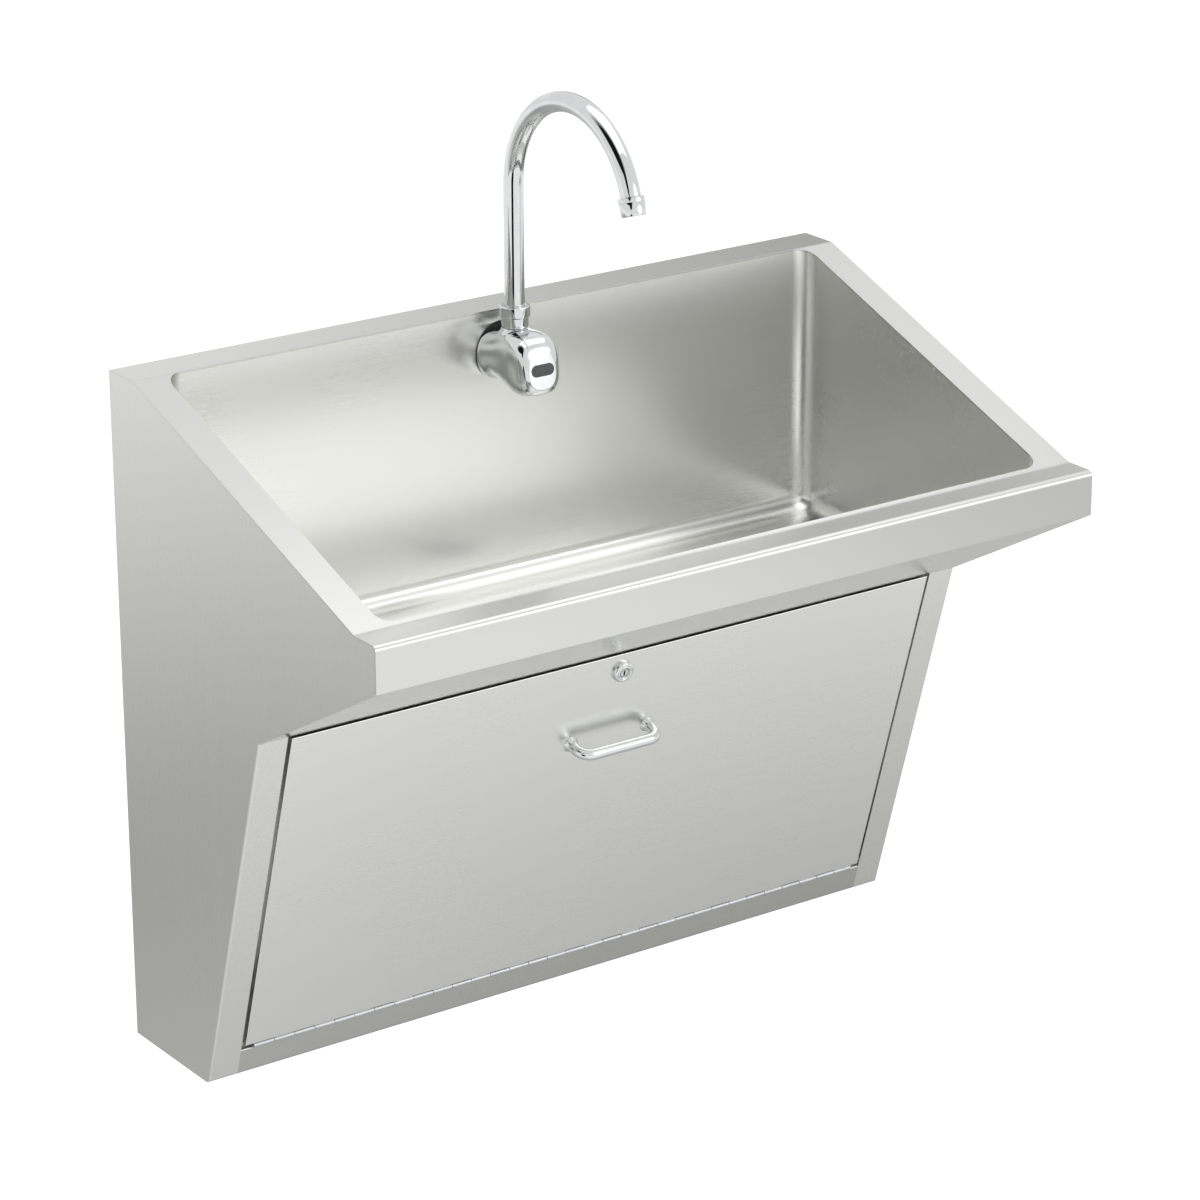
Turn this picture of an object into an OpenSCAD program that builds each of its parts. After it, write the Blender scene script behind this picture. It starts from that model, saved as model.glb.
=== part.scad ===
/* [Cabinet] */
// Overall width of the cabinet
cabinet_w = 914.4; // [860:0.2:1220]
// Depth from the wall to the face of the apron
cabinet_d = 508; // [490:1:540]
// Height of the back ledge above the cabinet's bottom
back_h = 762; // [750:1:800]
// Height of the front ledge above the cabinet's bottom
front_h = 609.6; // [600:0.2:630]
// Height of the front apron
apron_h = 50; // [42:1:56]
// Depth of the cabinet at its bottom
foot_d = 154.6; // [150:0.2:170]
// Depth at which the soffit meets the door's frame
knee_d = 282; // [270:1:292]
// Height at which the soffit meets the door's frame
knee_h = 433.6; // [425:0.2:440]
// Sheet thickness of the rim
rim_t = 2; // [1.5:0.1:2.5]
// Sheet thickness of the cabinet's panels
panel_t = 1.5; // [1.2:0.1:2]
// Outside radius of the bend under the cabinet's foot
foot_bend_r = 8; // [5:0.5:12]
// Height of the rim's flange that drops down along the wall
rim_drop = 40; // [30:1:50]

/* [Rim and bowl] */
// Depth of the flat back ledge, from the wall to the bowl
back_ledge = 50.8; // [50:0.2:60]
// Width of each side ledge
side_ledge = 36; // [30:0.5:45]
// Depth of the front ledge, from the apron to the bowl
front_ledge = 43.5; // [40:0.5:55]
// Depth of the flat strip behind the apron
front_flat = 38; // [30:1:40]
// Height of the bowl's flat bottom above the cabinet's bottom
bowl_floor_h = 450; // [446:1:456]
// Sheet thickness of the bowl
bowl_t = 1.6; // [1.2:0.1:2]
// Radius of the bowl's coves and corners
cove_r = 20; // [14:0.5:24]
// Gap between the bowl's slanted front and the soffit
bowl_gap = 10; // [8:0.5:14]
// Thickness of the sound pad under the bowl
pad_t = 3; // [2:0.5:3]

/* [Door] */
// Width of each stile beside the door
stile_w = 35; // [30:0.5:45]
// Height of the rail below the door
rail_h = 35; // [30:0.5:45]
// Gap between the door and each stile
door_gap = 4.2; // [3:0.1:6]
// Gap between the door's top edge and the soffit
door_top_gap = 4.9; // [4:0.1:7]
// Depth of the door's folded edges
door_fold = 13.5; // [11:0.5:14]
// Outside radius of the door's folds
door_bend_r = 2.4; // [1.8:0.1:3]
// Radius of the hinge's knuckles
knuckle_r = 2.6; // [2.2:0.1:2.6]
// Radius of the hinge's pin
hinge_pin_r = 1.2; // [0.9:0.1:1.3]
// Running clearance round the hinge pin and the lock's plug
running_fit = 0.05; // [0.03:0.01:0.08]
// Number of knuckles on the hinge, both leaves together
knuckle_count = 32; // [24:2:36]

/* [Handle and lock] */
// Distance between the centres of the handle's two feet
handle_span = 102; // [90:1:130]
// Radius of the handle's bar
handle_r = 6.3; // [5:0.1:7]
// Height of the handle's bar above the door's face
handle_reach = 24.5; // [22:0.5:32]
// Radius of the handle's elbows, at the bar's middle
handle_bend_r = 14; // [10:0.5:15]
// Distance of the handle below the lock
handle_drop = 85; // [70:1:120]
// Distance of the lock's centre below the door's top edge
lock_drop = 19; // [17:0.5:24]
// Radius of the lock's collar
lock_collar_r = 13; // [12:0.1:14]
// Radius of the lock's barrel
lock_barrel_r = 9.5; // [8.5:0.1:10]
// Radius of the lock's plug
lock_plug_r = 6.5; // [5.5:0.1:7]
// Reach of the lock's cam from its centre to its tip
cam_reach = 20; // [18:0.5:21]

/* [Faucet] */
// Distance of the spout's axis from the bowl's back wall
spout_off = 27; // [24:0.5:32]
// Outside radius of the spout's tube
spout_r = 11.2; // [10:0.1:12]
// Inside radius of the spout's tube
spout_bore_r = 9.6; // [8:0.1:9.8]
// Height of the collar's top above the back ledge
collar_top = 10; // [8:0.5:14]
// Height of the straight part of the spout above the collar
spout_rise = 134; // [100:1:200]
// Radius of the gooseneck, at the tube's middle
goose_r = 110; // [90:1:125]
// Angle through which the gooseneck turns
goose_turn = 163; // [150:1:180]
// Distance of the faucet's face from the bowl's back wall
faucet_reach = 83; // [80:0.5:90]
// Radius of the faucet's round foot on the wall
faucet_foot_r = 32.5; // [30:0.5:34]
// Depth of the faucet's centre below the back ledge
faucet_drop = 45.5; // [44:0.5:48]
// Width of the sensor's window
window_w = 30; // [24:0.5:32]
// Height of the sensor's window
window_h = 13.5; // [10:0.5:14]

/* [Drain] */
// Distance of the drain's centre in front of the middle of the bowl's flat bottom
drain_shift = 0; // [-8:1:8]
// Radius of the drain's flange
drain_flange_r = 38; // [34:0.5:45]
// Radius of the drain's threaded body
drain_body_r = 25; // [23:0.5:27]
// Outside radius of the waste pipe
waste_r = 19.05; // [17:0.05:19.1]
// Wall of the waste pipe
waste_t = 1.6; // [1.2:0.1:2]
// Height of the waste pipe's axis where it enters the wall
waste_h = 250; // [245:1:252]
// Radius of the trap's bend, at the pipe's middle
trap_r = 40; // [39:0.5:41]

/* [Water supply] */
// Distance between the two stop valves' axes
stop_span = 203.2; // [180:0.2:220]
// Height of the stop valves' axes
stop_h = 170; // [150:1:180]
// Radius of the bore that takes the supply pipe
supply_r = 8; // [7:0.1:9]
// Depth of the bore that takes the supply pipe
supply_depth = 18; // [15:0.5:22]
// Outside radius of the supply hoses
hose_r = 6; // [5:0.5:6.5]

/* [Wall mounting] */
// Distance between the outer pair of wall bolts
bolt_span = 762; // [740:1:780]
// Distance between the inner pair of wall bolts
inner_bolt_span = 457.2; // [400:0.2:500]
// Height of the upper wall bolts
upper_bolt_h = 658; // [654:0.5:662]
// Height of the lower wall bolts
lower_bolt_h = 40; // [36:0.5:48]
// Radius of the wall bolts' holes
bolt_r = 5.5; // [4:0.1:6.5]
// Sheet thickness of the wall hangers
hanger_t = 3; // [2.5:0.1:3]

/* [Hidden] */
$fn = 64;
// Small gap that keeps round pieces apart
seat_gap = 0.3;
// Amount by which a cutter runs past a face
over = 1;
// Number of straight facets in a bend
bend_steps = 6;

// Angle of the door's frame from the vertical
lean = atan((knee_d - foot_d) / knee_h);
// Length of the door's frame along its slope
front_len = norm([knee_d - foot_d, knee_h]);
// Height of the apron's lower edge
apron_foot = front_h - apron_h;
// Angle of the soffit from the horizontal
soffit_angle = atan((apron_foot - knee_h) / (cabinet_d - knee_d));
bowl_front = cabinet_d - front_ledge;
bowl_w = cabinet_w - 2 * side_ledge;
inside_w = cabinet_w - 2 * panel_t;
opening_w = cabinet_w - 2 * stile_w;
rim_radii = [0, 3, 12, 12, 6, 0];
stile_bend_r = 2.5;

// Vector helpers in the plane of a profile
function unit(v) = v / norm(v);
function left_of(v) = [-v[1], v[0]];
function reverse(v) = [for (i = [len(v) - 1:-1:0]) v[i]];
function miter(a, b, c, d) =
    let (n1 = left_of(unit(b - a)), n2 = left_of(unit(c - b)), m = unit(n1 + n2)) b + m * d / (m * n1);
// Path moved to its left by d
function offset_path(p, d) = [for (i = [0:len(p) - 1])
    i == 0 ? p[0] + d * left_of(unit(p[1] - p[0]))
    : i == len(p) - 1 ? p[i] + d * left_of(unit(p[i] - p[i - 1]))
    : miter(p[i - 1], p[i], p[i + 1], d)];
// Arc of radius r that rounds the corner b of the path a, b, c
function arc_points(a, b, c, r) =
    let (
        u = unit(a - b),
        v = unit(c - b),
        half = acos(u * v) / 2,
        middle = b + unit(u + v) * r / sin(half),
        first = b + u * r / tan(half) - middle,
        last = b + v * r / tan(half) - middle,
        start = atan2(first[1], first[0]),
        turn = atan2(first[0] * last[1] - first[1] * last[0], first * last)
    )
    [for (i = [0:bend_steps]) let (q = start + turn * i / bend_steps) middle + r * [cos(q), sin(q)]];
// Path with a rounded corner wherever its radius isn't zero
function bent_path(p, radii) = [for (i = [0:len(p) - 1])
    each radii[i] == 0 ? [p[i]] : arc_points(p[i - 1], p[i], p[i + 1], radii[i])];
// Outline of a folded sheet whose outer face follows the path
function sheet(p, radii, t) =
    let (outer = bent_path(p, radii)) concat(outer, reverse(offset_path(outer, t)));
// Point at distance s up the door's frame and n in front of it, as depth and height
function front_point(s, n) =
    [-foot_d - s * sin(lean) - n * cos(lean), s * cos(lean) - n * sin(lean)];
// Height of the soffit's underside at depth d
function soffit_h(d) = knee_h + (d - knee_d) * tan(soffit_angle);

rim_path = [[0, back_h - rim_drop], [0, back_h], [-back_ledge, back_h],
    [-(cabinet_d - front_flat), front_h], [-cabinet_d, front_h], [-cabinet_d, apron_foot]];
rim_under = offset_path(bent_path(rim_path, rim_radii), rim_t);
knee = front_point(front_len, 0);
soffit_front = [-cabinet_d + rim_t, soffit_h(cabinet_d - rim_t)];

// Profile in depth and height, drawn out along the width
module along_x(w) rotate([90, 0, 90]) linear_extrude(height = w, center = true) children();
// Frame on the door's slope: x across, y up the slope, z out of the face
module on_front() translate([0, -foot_d, 0]) rotate([90 + lean, 0, 0]) children();
// Children turned so that their z axis points out of the wall
module out_of_wall() rotate([90, 0, 0]) children();
module right_only(x0, x1) translate([(x0 + x1) / 2, 0, 0]) along_x(x1 - x0) children();
module ring(r, bore, h) {
    difference() {
        cylinder(r = r, h = h);
        translate([0, 0, -over]) cylinder(r = bore, h = h + 2 * over);
    }
}
// Six-sided nut whose corners lie on radius r
module hex_nut(r, bore, h) {
    difference() {
        cylinder(r = r, h = h, $fn = 6);
        translate([0, 0, -over]) cylinder(r = bore, h = h + 2 * over);
    }
}
// Open pan of folded sheet, its face down at z = 0 and its folds rising to z = depth
module pan(w, h, depth, r, t) {
    difference() {
        pan_block(w, h, depth, r);
        translate([0, 0, t]) pan_block(w - 2 * t, h - 2 * t, depth, r - t);
    }
}
module pan_block(w, h, depth, r) {
    intersection() {
        along_y(h) polygon(pan_outline(w, depth, r));
        along_x(w) polygon(pan_outline(h, depth, r));
    }
}
function pan_outline(w, depth, r) =
    let (low = [[-w / 2, depth], [-w / 2, 0], [w / 2, 0], [w / 2, depth]]) bent_path(low, [0, r, r, 0]);
module along_y(h) rotate([90, 0, 0]) linear_extrude(height = h, center = true) children();

// Plan of the opening over the bowl
function opening_plan() =
    let (
        x = bowl_w / 2,
        corners = [[0, -back_ledge], [-x, -back_ledge], [-x, -bowl_front], [x, -bowl_front],
            [x, -back_ledge], [0, -back_ledge]]
    )
    bent_path(corners, [0, cove_r, cove_r, cove_r, cove_r, 0]);

module rim_deck() color("gainsboro") {
    difference() {
        along_x(cabinet_w) polygon(sheet(rim_path, rim_radii, rim_t));
        translate([0, 0, apron_foot]) linear_extrude(height = back_h) polygon(opening_plan());
    }
}

// The bowl is a pan whose wall follows this profile; its corners are all of one cove radius
slant_off = (panel_t + bowl_gap + bowl_t) / cos(soffit_angle);
bowl_path = [[-back_ledge, back_h], [-back_ledge, bowl_floor_h],
    [-knee_d - (bowl_floor_h - knee_h - slant_off) / tan(soffit_angle), bowl_floor_h],
    [-bowl_front, soffit_h(bowl_front) + slant_off], [-bowl_front, back_h]];
bowl_core = offset_path(bowl_path, -cove_r);
// Distance of the drain's centre from the wall, to the nearest millimetre
drain_d = round(drain_shift - (bowl_path[1][0] + bowl_path[2][0]) / 2);

// The bowl is a bent wrapper between two end pieces, which carry the coves beside the wrapper
wrapper_half = bowl_w / 2 - cove_r;
cove_step = 11.25;
cove_rows = 8;
// Direction from the bowl's core to the back wall, the floor, the slanted front and the front wall
wall_turn = [0, -90, -90 - soffit_angle, -180];
// Stations along the profile: the number of a core point, and the direction to the wall there
function corner_stations(i) =
    let (start = wall_turn[i - 1], sweep = wall_turn[i] - start, n = ceil(-sweep / cove_step))
    [for (k = [0:n]) [i, start + sweep * k / n]];
stations = concat([[0, wall_turn[0]]], corner_stations(1), corner_stations(2), corner_stations(3),
    [[4, wall_turn[3]]]);
function off_core(station, r) = bowl_core[station[0]] + r * [cos(station[1]), sin(station[1])];
wrapper_outline = concat([for (q = stations) off_core(q, cove_r)],
    reverse([for (q = stations) off_core(q, cove_r + bowl_t)]));
// Everything above the underside of the rim
module above_rim() along_x(cabinet_w) polygon(concat(rim_under, [[-cabinet_d, 2 * back_h], [0, 2 * back_h]]));
module bowl() color("silver") {
    difference() {
        along_x(2 * wrapper_half) polygon(wrapper_outline);
        above_rim();
        translate([0, -drain_d, bowl_floor_h - 2 * bowl_t])
            cylinder(r = drain_body_r + seat_gap, h = 4 * bowl_t);
        translate([0, -back_ledge - over, faucet_h]) out_of_wall()
            translate([0, 0, -bowl_t - 2 * over]) cylinder(r = shank_r + over, h = bowl_t + 4 * over);
        translate([lead_x, -back_ledge - over, lead_h]) out_of_wall()
            translate([0, 0, -bowl_t - 2 * over]) cylinder(r = lead_r + lead_room, h = bowl_t + 4 * over);
    }
}
// Skin of an end piece on radius r: rows that turn from the wrapper towards the plate, then the plate
function end_skin(r) = concat(
    [for (row = [0:cove_rows - 1], q = stations)
        let (turn = 90 * row / cove_rows, at = off_core(q, r * cos(turn)))
        [wrapper_half + r * sin(turn), at[0], at[1]]],
    [for (at = bowl_core) [wrapper_half + r, at[0], at[1]]]);
station_count = len(stations);
skin_count = cove_rows * station_count + len(bowl_core);
// Number of the point in a row at station i; the last row is the plate's corners
function skin_point(row, i) = row < cove_rows ? row * station_count + i
    : cove_rows * station_count + stations[i][0];
// Face without the point that is named twice where the skin meets a corner of the plate
function skin_face(row, i) =
    let (a = skin_point(row, i), b = skin_point(row, i + 1), c = skin_point(row + 1, i + 1),
        d = skin_point(row + 1, i))
    c == d ? [a, b, c] : [a, b, c, d];
function end_edge(row, i) = [skin_point(row, i), skin_point(row + 1, i), skin_count + skin_point(row + 1, i),
    skin_count + skin_point(row, i)];
last_station = station_count - 1;
plate_in = [for (i = [0:len(bowl_core) - 1]) cove_rows * station_count + i];
plate_out = [for (i = plate_in) skin_count + i];
end_faces = concat(
    [for (row = [0:cove_rows - 1], i = [0:last_station - 1]) reverse(skin_face(row, i))],
    [for (row = [0:cove_rows - 1], i = [0:last_station - 1]) [for (n = skin_face(row, i)) skin_count + n]],
    [for (i = [0:last_station - 1]) [i, i + 1, skin_count + i + 1, skin_count + i]],
    [for (row = [0:cove_rows - 1]) reverse(end_edge(row, 0))],
    [for (row = [0:cove_rows - 1]) end_edge(row, last_station)],
    [reverse(plate_in), plate_out, [plate_out[0], plate_out[4], plate_in[4], plate_in[0]]]);
module bowl_end() {
    difference() {
        polyhedron(points = concat(end_skin(cove_r), end_skin(cove_r + bowl_t)), faces = end_faces, convexity = 6);
        above_rim();
    }
}
module bowl_left_end() color("silver") mirror([1, 0, 0]) bowl_end();
module bowl_right_end() color("silver") bowl_end();
module sound_pad() color("dimgray") {
    pad_w = bowl_w - 4 * cove_r;
    pad_back = -back_ledge - cove_r - 5;
    pad_front = bowl_core[2][0];
    difference() {
        translate([-pad_w / 2, pad_front, bowl_floor_h - bowl_t - pad_t])
            cube([pad_w, pad_back - pad_front, pad_t]);
        translate([0, -drain_d, bowl_floor_h - bowl_t - pad_t - over])
            cylinder(r = drain_flange_r + 5, h = pad_t + 2 * over);
    }
}

// Outline of a side panel, from the wall round the foot, the knee and the rim
side_outline = concat([[0, 0]], arc_points([0, 0], [-foot_d, 0], knee, foot_bend_r),
    [knee, soffit_front], reverse(rim_under), [[0, back_h - rim_drop]]);
lip_d = 12;
back_flange_w = 25;

module side_panel() {
    outer = cabinet_w / 2;
    cut = foot_bend_r + over;
    difference() {
        union() {
            right_only(outer - panel_t, outer) polygon(side_outline);
            right_only(outer - stile_w, outer - panel_t)
                polygon(sheet([knee, [-foot_d, 0], [-foot_d + 2 * foot_bend_r, 0]], [0, foot_bend_r, 0], panel_t));
            right_only(outer - stile_w, outer - stile_w + panel_t)
                polygon([front_point(2 * panel_t, -panel_t), front_point(front_len - 2 * panel_t, -panel_t),
                    front_point(front_len - 2 * panel_t, -lip_d), front_point(2 * panel_t, -lip_d)]);
            translate([outer - back_flange_w, -panel_t, panel_t])
                cube([back_flange_w - panel_t, panel_t, back_h - rim_drop - panel_t]);
        }
        on_front() translate([outer - stile_bend_r, front_len + over, -stile_bend_r]) rotate([90, 0, 0])
            difference() {
                cube([stile_bend_r + over, stile_bend_r + over, front_len + cut + over]);
                translate([0, 0, -over]) cylinder(r = stile_bend_r, h = front_len + cut + 3 * over);
            }
    }
}
module right_side_panel() color("lightgray") side_panel();
module left_side_panel() color("lightgray") mirror([1, 0, 0]) side_panel();

// Lip behind the door's top edge, which the lock's cam catches
catch_n = -(door_fold - panel_t) - 4.5;
catch_h = 12;
module soffit_panel() color("lightgray") {
    along_x(inside_w)
        polygon(sheet([soffit_front + [0, apron_h / 2], soffit_front, knee], [0, 2.5, 0], panel_t));
    along_x(opening_w - 2 * seat_gap)
        polygon(sheet([knee, front_point(front_len, catch_n), front_point(front_len - catch_h, catch_n)],
            [0, 0, 0], panel_t));
}

rear_flange_h = 60;
module bottom_pan() color("lightgray") {
    floor_start = foot_d - 2 * foot_bend_r;
    along_x(opening_w)
        polygon(sheet([front_point(rail_h, -lip_d - 2), front_point(rail_h, 0), [-foot_d, 0],
            [-floor_start, 0]], [0, 2, foot_bend_r, 0], panel_t));
    translate([-inside_w / 2, -floor_start, 0]) cube([inside_w, floor_start, panel_t]);
    difference() {
        translate([-cabinet_w / 2 + back_flange_w + seat_gap, -panel_t, 0])
            cube([cabinet_w - 2 * (back_flange_w + seat_gap), panel_t, rear_flange_h]);
        wall_bolt_holes(bolt_span, lower_bolt_h);
    }
}
module wall_bolt_holes(span, h) {
    for (side = [-1, 1])
        translate([side * span / 2, over, h]) out_of_wall() cylinder(r = bolt_r, h = hanger_t + 2 * over);
}

// Height of the wall hangers' trough and the hook that hangs in it
trough_h = upper_bolt_h + 25;
hook_in = 7.5;
hook_t = 2.5;
hanger_inner = 130;
plate_below_bolt = 18;
trough_lip = 22;
trough_room = 4;
channel_d = 14;
channel_drop = 11;
channel_rise = 29;
channel_past = 20;
hanger_side_room = 5;
module hanger_channel() {
    hook_y = -hook_in - hook_t;
    web_y = hook_y - channel_d;
    right_only(hanger_inner - channel_past, inside_w / 2)
        polygon(sheet([[web_y, trough_h - channel_drop], [web_y, trough_h + channel_rise],
            [hook_y, trough_h + channel_rise], [hook_y, trough_h]], [0, 0, 0, 0], hook_t));
}
module right_hanger_channel() color("silver") hanger_channel();
module left_hanger_channel() color("silver") mirror([1, 0, 0]) hanger_channel();
module wall_hanger() {
    lip_y = -hook_in - hook_t - trough_room;
    difference() {
        right_only(hanger_inner, cabinet_w / 2 - back_flange_w - hanger_side_room)
            polygon(sheet([[0, upper_bolt_h - plate_below_bolt], [0, trough_h], [lip_y, trough_h],
                [lip_y, trough_h + trough_lip]], [0, 0, 0, 0], hanger_t));
        wall_bolt_holes(bolt_span, upper_bolt_h);
        wall_bolt_holes(inner_bolt_span, upper_bolt_h);
    }
}
module right_wall_hanger() color("darkgray") wall_hanger();
module left_wall_hanger() color("darkgray") mirror([1, 0, 0]) wall_hanger();

rail_low = 300;
rail_high = 350;
rail_d = 18;
rail_face = rail_d + panel_t;
module service_rail() color("silver") {
    back = panel_t + 0.1;
    along_x(inside_w)
        polygon(sheet([[-back, rail_low], [-rail_face + panel_t, rail_low], [-rail_face + panel_t, rail_high],
            [-back, rail_high]], [0, 0, 0, 0], panel_t));
}

// Door and hinge, in the frame on the door's slope
hinge_n = 1;
hinge_s = rail_h + knuckle_r + 0.4;
leaf_t = 1;
door_low = hinge_s + knuckle_r + 0.4;
door_high = front_len - door_top_gap;
door_w = opening_w - 2 * door_gap;
lock_s = door_high - lock_drop;
handle_s = lock_s - handle_drop;
hinge_len = door_w - 20;
knuckle_pitch = hinge_len / knuckle_count;
knuckle_gap = 0.5;
leaf_edge = -2.2;

module access_door() color("gainsboro") {
    difference() {
        on_front() translate([0, (door_low + door_high) / 2, panel_t]) mirror([0, 0, 1])
            pan(door_w, door_high - door_low, door_fold, door_bend_r, panel_t);
        on_front() translate([0, lock_s, -over])
            cylinder(r = lock_barrel_r + running_fit, h = panel_t + 2 * over);
        on_front() for (side = [-1, 1])
            translate([side * handle_span / 2, handle_s, -over]) cylinder(r = 2.6, h = panel_t + 2 * over);
    }
}
// One leaf of the hinge: a strip and every second knuckle, joined by tabs
module hinge_leaf(first, leaf_s, back_n) {
    translate([-hinge_len / 2, leaf_s, back_n]) cube([hinge_len, leaf_t, leaf_edge - back_n]);
    for (i = [first:2:knuckle_count - 1])
        translate([-hinge_len / 2 + (i + 0.5) * knuckle_pitch, 0, 0]) difference() {
            union() {
                translate([-(knuckle_pitch - knuckle_gap) / 2, leaf_s, leaf_edge])
                    cube([knuckle_pitch - knuckle_gap, leaf_t, hinge_n - leaf_edge]);
                translate([0, hinge_s, hinge_n]) rotate([0, 90, 0])
                    cylinder(r = knuckle_r, h = knuckle_pitch - knuckle_gap, center = true);
            }
            translate([0, hinge_s, hinge_n]) rotate([0, 90, 0])
                cylinder(r = hinge_pin_r + running_fit, h = knuckle_pitch, center = true);
        }
}
module hinge_frame_leaf() color("silver") on_front() hinge_leaf(0, rail_h, -lip_d - 2);
module hinge_door_leaf() color("silver") on_front()
    hinge_leaf(1, door_low - leaf_t, panel_t - door_fold + over);
module hinge_pin() color("gray") on_front() translate([0, hinge_s, hinge_n]) rotate([0, 90, 0])
    cylinder(r = hinge_pin_r, h = hinge_len, center = true);

// Handle of round bar with flared feet and two elbows
module pull_handle() color("whitesmoke") {
    leg = handle_reach - handle_bend_r;
    on_front() translate([0, handle_s, panel_t]) difference() {
        union() {
            for (side = [-1, 1]) {
                translate([side * handle_span / 2, 0, 0])
                    cylinder(r1 = handle_r + 3, r2 = handle_r, h = leg * 0.6);
                translate([side * handle_span / 2, 0, 0]) cylinder(r = handle_r, h = leg);
                translate([side * (handle_span / 2 - handle_bend_r), 0, leg])
                    rotate([90, 0, side > 0 ? 0 : 180]) rotate_extrude(angle = 90)
                        translate([handle_bend_r, 0]) circle(r = handle_r);
            }
            translate([0, 0, handle_reach]) rotate([0, 90, 0])
                cylinder(r = handle_r, h = handle_span - 2 * handle_bend_r, center = true);
        }
        for (side = [-1, 1])
            translate([side * handle_span / 2, 0, -over]) cylinder(r = 2.1, h = leg + over);
    }
}
module handle_screws() color("silver") on_front() {
    for (side = [-1, 1])
        translate([side * handle_span / 2, handle_s, 0]) {
            translate([0, 0, -2.6]) cylinder(r1 = 3.4, r2 = 4.5, h = 2.6);
            cylinder(r = 2, h = 9);
        }
}

// Cam lock, revolved about its axis; heights are above the door's frame
lock_face = panel_t + 6;
lock_back = catch_n - panel_t - 0.7;
module lock_body() color("whitesmoke") on_front() translate([0, lock_s, 0]) {
    bore = lock_plug_r + running_fit;
    rotate_extrude()
        polygon([[bore, lock_back + 0.5], [lock_barrel_r, lock_back + 0.5], [lock_barrel_r, panel_t],
            [lock_collar_r, panel_t], [lock_collar_r, panel_t + 1.5], [lock_collar_r - 2.8, lock_face],
            [bore + 1.2, lock_face], [bore, lock_face - 1.2]]);
}
module lock_nut() color("silver") on_front() translate([0, lock_s, -4]) difference() {
    cylinder(r = 12.5, h = 4, $fn = 6);
    translate([0, 0, -over]) cylinder(r = lock_barrel_r + running_fit, h = 4 + 2 * over);
}
module lock_plug() color("whitesmoke") on_front() translate([0, lock_s, 0]) difference() {
    translate([0, 0, lock_back]) cylinder(r = lock_plug_r, h = lock_face - 1 - lock_back);
    translate([-0.9, -0.6, lock_face - 6]) cube([1.2, 3.6, 6]);
    translate([-0.3, -3, lock_face - 6]) cube([1.2, 3.6, 6]);
    translate([0, 0, lock_face - 1.6]) ring(5.6, 4.9, 1);
    translate([0, 0, lock_back - over]) cylinder(r = 1.6, h = 7);
}
module lock_cam() color("silver") on_front() translate([0, lock_s, lock_back - 2]) difference() {
    linear_extrude(height = 2)
        polygon(concat(arc_points([cam_reach, -6], [-7, -6], [-7, 6], 5),
            arc_points([-7, -6], [-7, 6], [cam_reach, 6], 5),
            arc_points([-7, 6], [cam_reach, 6], [cam_reach, -6], 3),
            arc_points([cam_reach, 6], [cam_reach, -6], [-7, -6], 3)));
    translate([0, 0, -over]) cylinder(r = 1.6 + seat_gap, h = 2 + 2 * over);
}
module cam_screw() color("gray") on_front() translate([0, lock_s, lock_back - 2]) {
    translate([0, 0, -2.2]) cylinder(r1 = 2.6, r2 = 3.4, h = 2.2);
    cylinder(r = 1.5, h = 7);
}

// Faucet, with its foot on the bowl's back wall
faucet_h = back_h - faucet_drop;
spout_y = -back_ledge - spout_off;
gasket_t = 1.5;
shank_r = 10.5;
lead_r = 2;
lead_room = 0.8;
lead_x = 18;
lead_h = faucet_h - 11.5;
collar_h = 24;
collar_foot = back_h + collar_top - collar_h;
face_y = -back_ledge - faucet_reach;
window_drop = 5.5;
neck_r = 14.6;
neck_foot_r = 22;
neck_foot = faucet_h + 21.5;
waterway_r = 6;
// Shape of the faucet's body as sections from foot to face:
// distance from the foot, half width, lowest and highest point, squareness
body_sections = [
    [0.00, 1.00, -32.5, 26.0, 2.4],
    [0.08, 1.00, -32.0, 26.5, 2.4],
    [0.20, 0.95, -28.5, 28.0, 2.4],
    [0.35, 0.89, -32.0, 29.5, 2.6],
    [0.50, 0.87, -36.5, 30.5, 2.9],
    [0.65, 0.87, -38.0, 30.0, 3.1],
    [0.80, 0.84, -37.0, 27.5, 3.1],
    [0.90, 0.77, -35.0, 24.0, 3.0],
    [0.96, 0.68, -32.5, 19.5, 2.8],
    [1.00, 0.54, -28.0, 13.0, 2.6]];
body_sides = 40;
body_rings = 36;
// Smooth value between the rows of a list, at place q
function smooth_row(rows, q) =
    let (
        last = len(rows) - 1,
        i = min(floor(q), last - 1),
        t = q - i,
        a = rows[max(i - 1, 0)],
        b = rows[i],
        c = rows[i + 1],
        d = rows[min(i + 2, last)]
    )
    0.5 * (2 * b + (c - a) * t + (2 * a - 5 * b + 4 * c - d) * t * t + (3 * b - a - 3 * c + d) * t * t * t);
function signed_power(v, p) = sign(v) * pow(abs(v), p);
function body_ring(row) =
    let (y = -back_ledge - gasket_t - row[0] * (faucet_reach - gasket_t), half = row[1] * faucet_foot_r)
    [for (j = [0:body_sides - 1])
        let (q = 360 * j / body_sides, power = 2 / row[4], mid = (row[2] + row[3]) / 2)
        [half * signed_power(cos(q), power), y,
            faucet_h + mid + (row[3] - row[2]) / 2 * signed_power(sin(q), power)]];
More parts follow.
